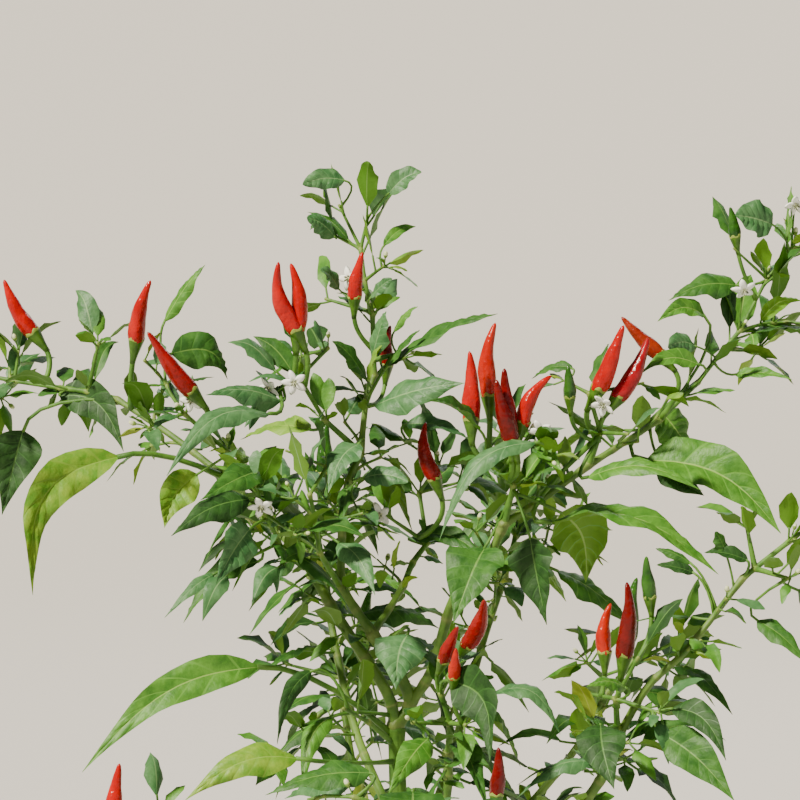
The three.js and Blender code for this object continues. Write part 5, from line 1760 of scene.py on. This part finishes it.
budSheets = Gather()
budStarts, budEnds = addBuds(budSheets, allBuds)
makePiece("buds", budSheets, budMaterials)
budBows = (budStarts + budEnds) / 2 + up * stalkLook["budLift"]
addStalks(
    stalks, budStarts, budBows, budEnds, np.full(len(allBuds), stalkLook["budStalk"]),
    stalkLook["budSides"], stalkLook["budSteps"])
makePiece("twigs", stalks, [twigMaterial], massNames)

# A plain pale floor of matt paint that rises all round, so that every view has the same quiet
# backdrop: rings that lie flat, then rise as a parabola and go on at its last slope, in metres
floorLook = {
    "flat": 2.4, "bend": 3.0, "reach": 24.0, "slope": 0.18, "inner": (0.01, 1.0), "bendRings": 16,
    "sides": 96, "colour": "#cfccc6", "roughness": 0.95,
}
bendRadii = np.linspace(floorLook["flat"], floorLook["flat"] + floorLook["bend"], floorLook["bendRings"])
floorRadii = np.array([*floorLook["inner"], *bendRadii, floorLook["reach"]])
pastFlat = np.maximum(floorRadii - floorLook["flat"], 0)
floorHeights = floorLook["slope"] * np.where(
    pastFlat < floorLook["bend"], pastFlat ** 2 / 2 / floorLook["bend"], pastFlat - floorLook["bend"] / 2)
floorAngle = roundAngles(floorLook["sides"])
floorPlaces = np.stack([
    floorRadii[:, None] * np.cos(floorAngle), floorRadii[:, None] * np.sin(floorAngle),
    np.repeat(floorHeights[:, None], floorLook["sides"], axis=1)], axis=-1).reshape(-1, 3)
floorQuads, _ = ringFaces(len(floorRadii), floorLook["sides"])
floorMesh = bpy.data.meshes.new("floor")
floorMesh.from_pydata(floorPlaces.tolist(), [], floorQuads[:, ::-1].tolist())
floorMesh.shade_smooth()
floorMaterial = bpy.data.materials.new("matt_backdrop")
floorMaterial.use_nodes = True
floorShader = floorMaterial.node_tree.nodes["Principled BSDF"]
floorShader.inputs["Base Color"].default_value = linear(floorLook["colour"])
floorShader.inputs["Roughness"].default_value = floorLook["roughness"]
floorMesh.materials.append(floorMaterial)
floor = bpy.data.objects.new("floor", floorMesh)
bpy.context.scene.collection.objects.link(floor)
print("floor made")

# Soft studio light in a pale room: a key like daylight through haze from the upper left, a wide
# weak fill from the front right, and a rim light from behind
lightPlans = {
    "key": {"kind": "SUN", "place": (-1.05, -0.85, 1.85), "size": 0.09, "power": 8.0, "colour": "#fff4e0"},
    "fill": {"kind": "AREA", "place": (1.9, -1.5, 0.9), "size": 1.6, "power": 3, "colour": "#eef4ff"},
    "rim": {"kind": "AREA", "place": (0.7, 1.7, 1.5), "size": 0.9, "power": 10, "colour": "#ffffff"},
}
roomLook = {"colour": "#dfe3e6", "strength": 0.2, "aim": (0.0, 0.0, 0.42)}


# One lamp, turned to the plant's middle. A sun's size is the angle that it fills
def addLight(name, plan):
    light = bpy.data.lights.new(name, plan["kind"])
    if plan["kind"] == "SUN":
        light.angle = plan["size"]
    else:
        light.size = plan["size"]
    light.energy = plan["power"]
    light.color = linear(plan["colour"])[:3]
    lamp = bpy.data.objects.new(name, light)
    lamp.location = plan["place"]
    toAim = np.array(roomLook["aim"]) - np.array(plan["place"])
    lamp.rotation_euler = (
        math.pi / 2 + math.atan2(toAim[2], math.hypot(toAim[0], toAim[1])), 0,
        math.atan2(toAim[1], toAim[0]) - math.pi / 2)
    bpy.context.scene.collection.objects.link(lamp)


for lightName, lightPlan in lightPlans.items():
    addLight(lightName, lightPlan)
world = bpy.data.worlds.new("pale_room")
world.use_nodes = True
background = world.node_tree.nodes["Background"]
background.inputs["Color"].default_value = linear(roomLook["colour"])
background.inputs["Strength"].default_value = roomLook["strength"]
bpy.context.scene.world = world
print("lights made")

# The photograph's view: 400 mm across at the plant, seen from a little above its middle
view = {"distance": 1.8, "down": 5.0, "aimHeight": 0.45, "across": 0.4, "sensor": 36.0}
pitch = math.radians(view["down"])
camera = bpy.data.cameras.new("photo_view")
camera.sensor_width = view["sensor"]
camera.lens = view["sensor"] * view["distance"] / view["across"]
eye = bpy.data.objects.new("photo_view", camera)
eyeHeight = view["aimHeight"] + view["distance"] * math.sin(pitch)
eye.location = (0, -view["distance"] * math.cos(pitch), eyeHeight)
eye.rotation_euler = (math.pi / 2 - pitch, 0, 0)
bpy.context.scene.collection.objects.link(eye)
bpy.context.scene.camera = eye
print("camera made")
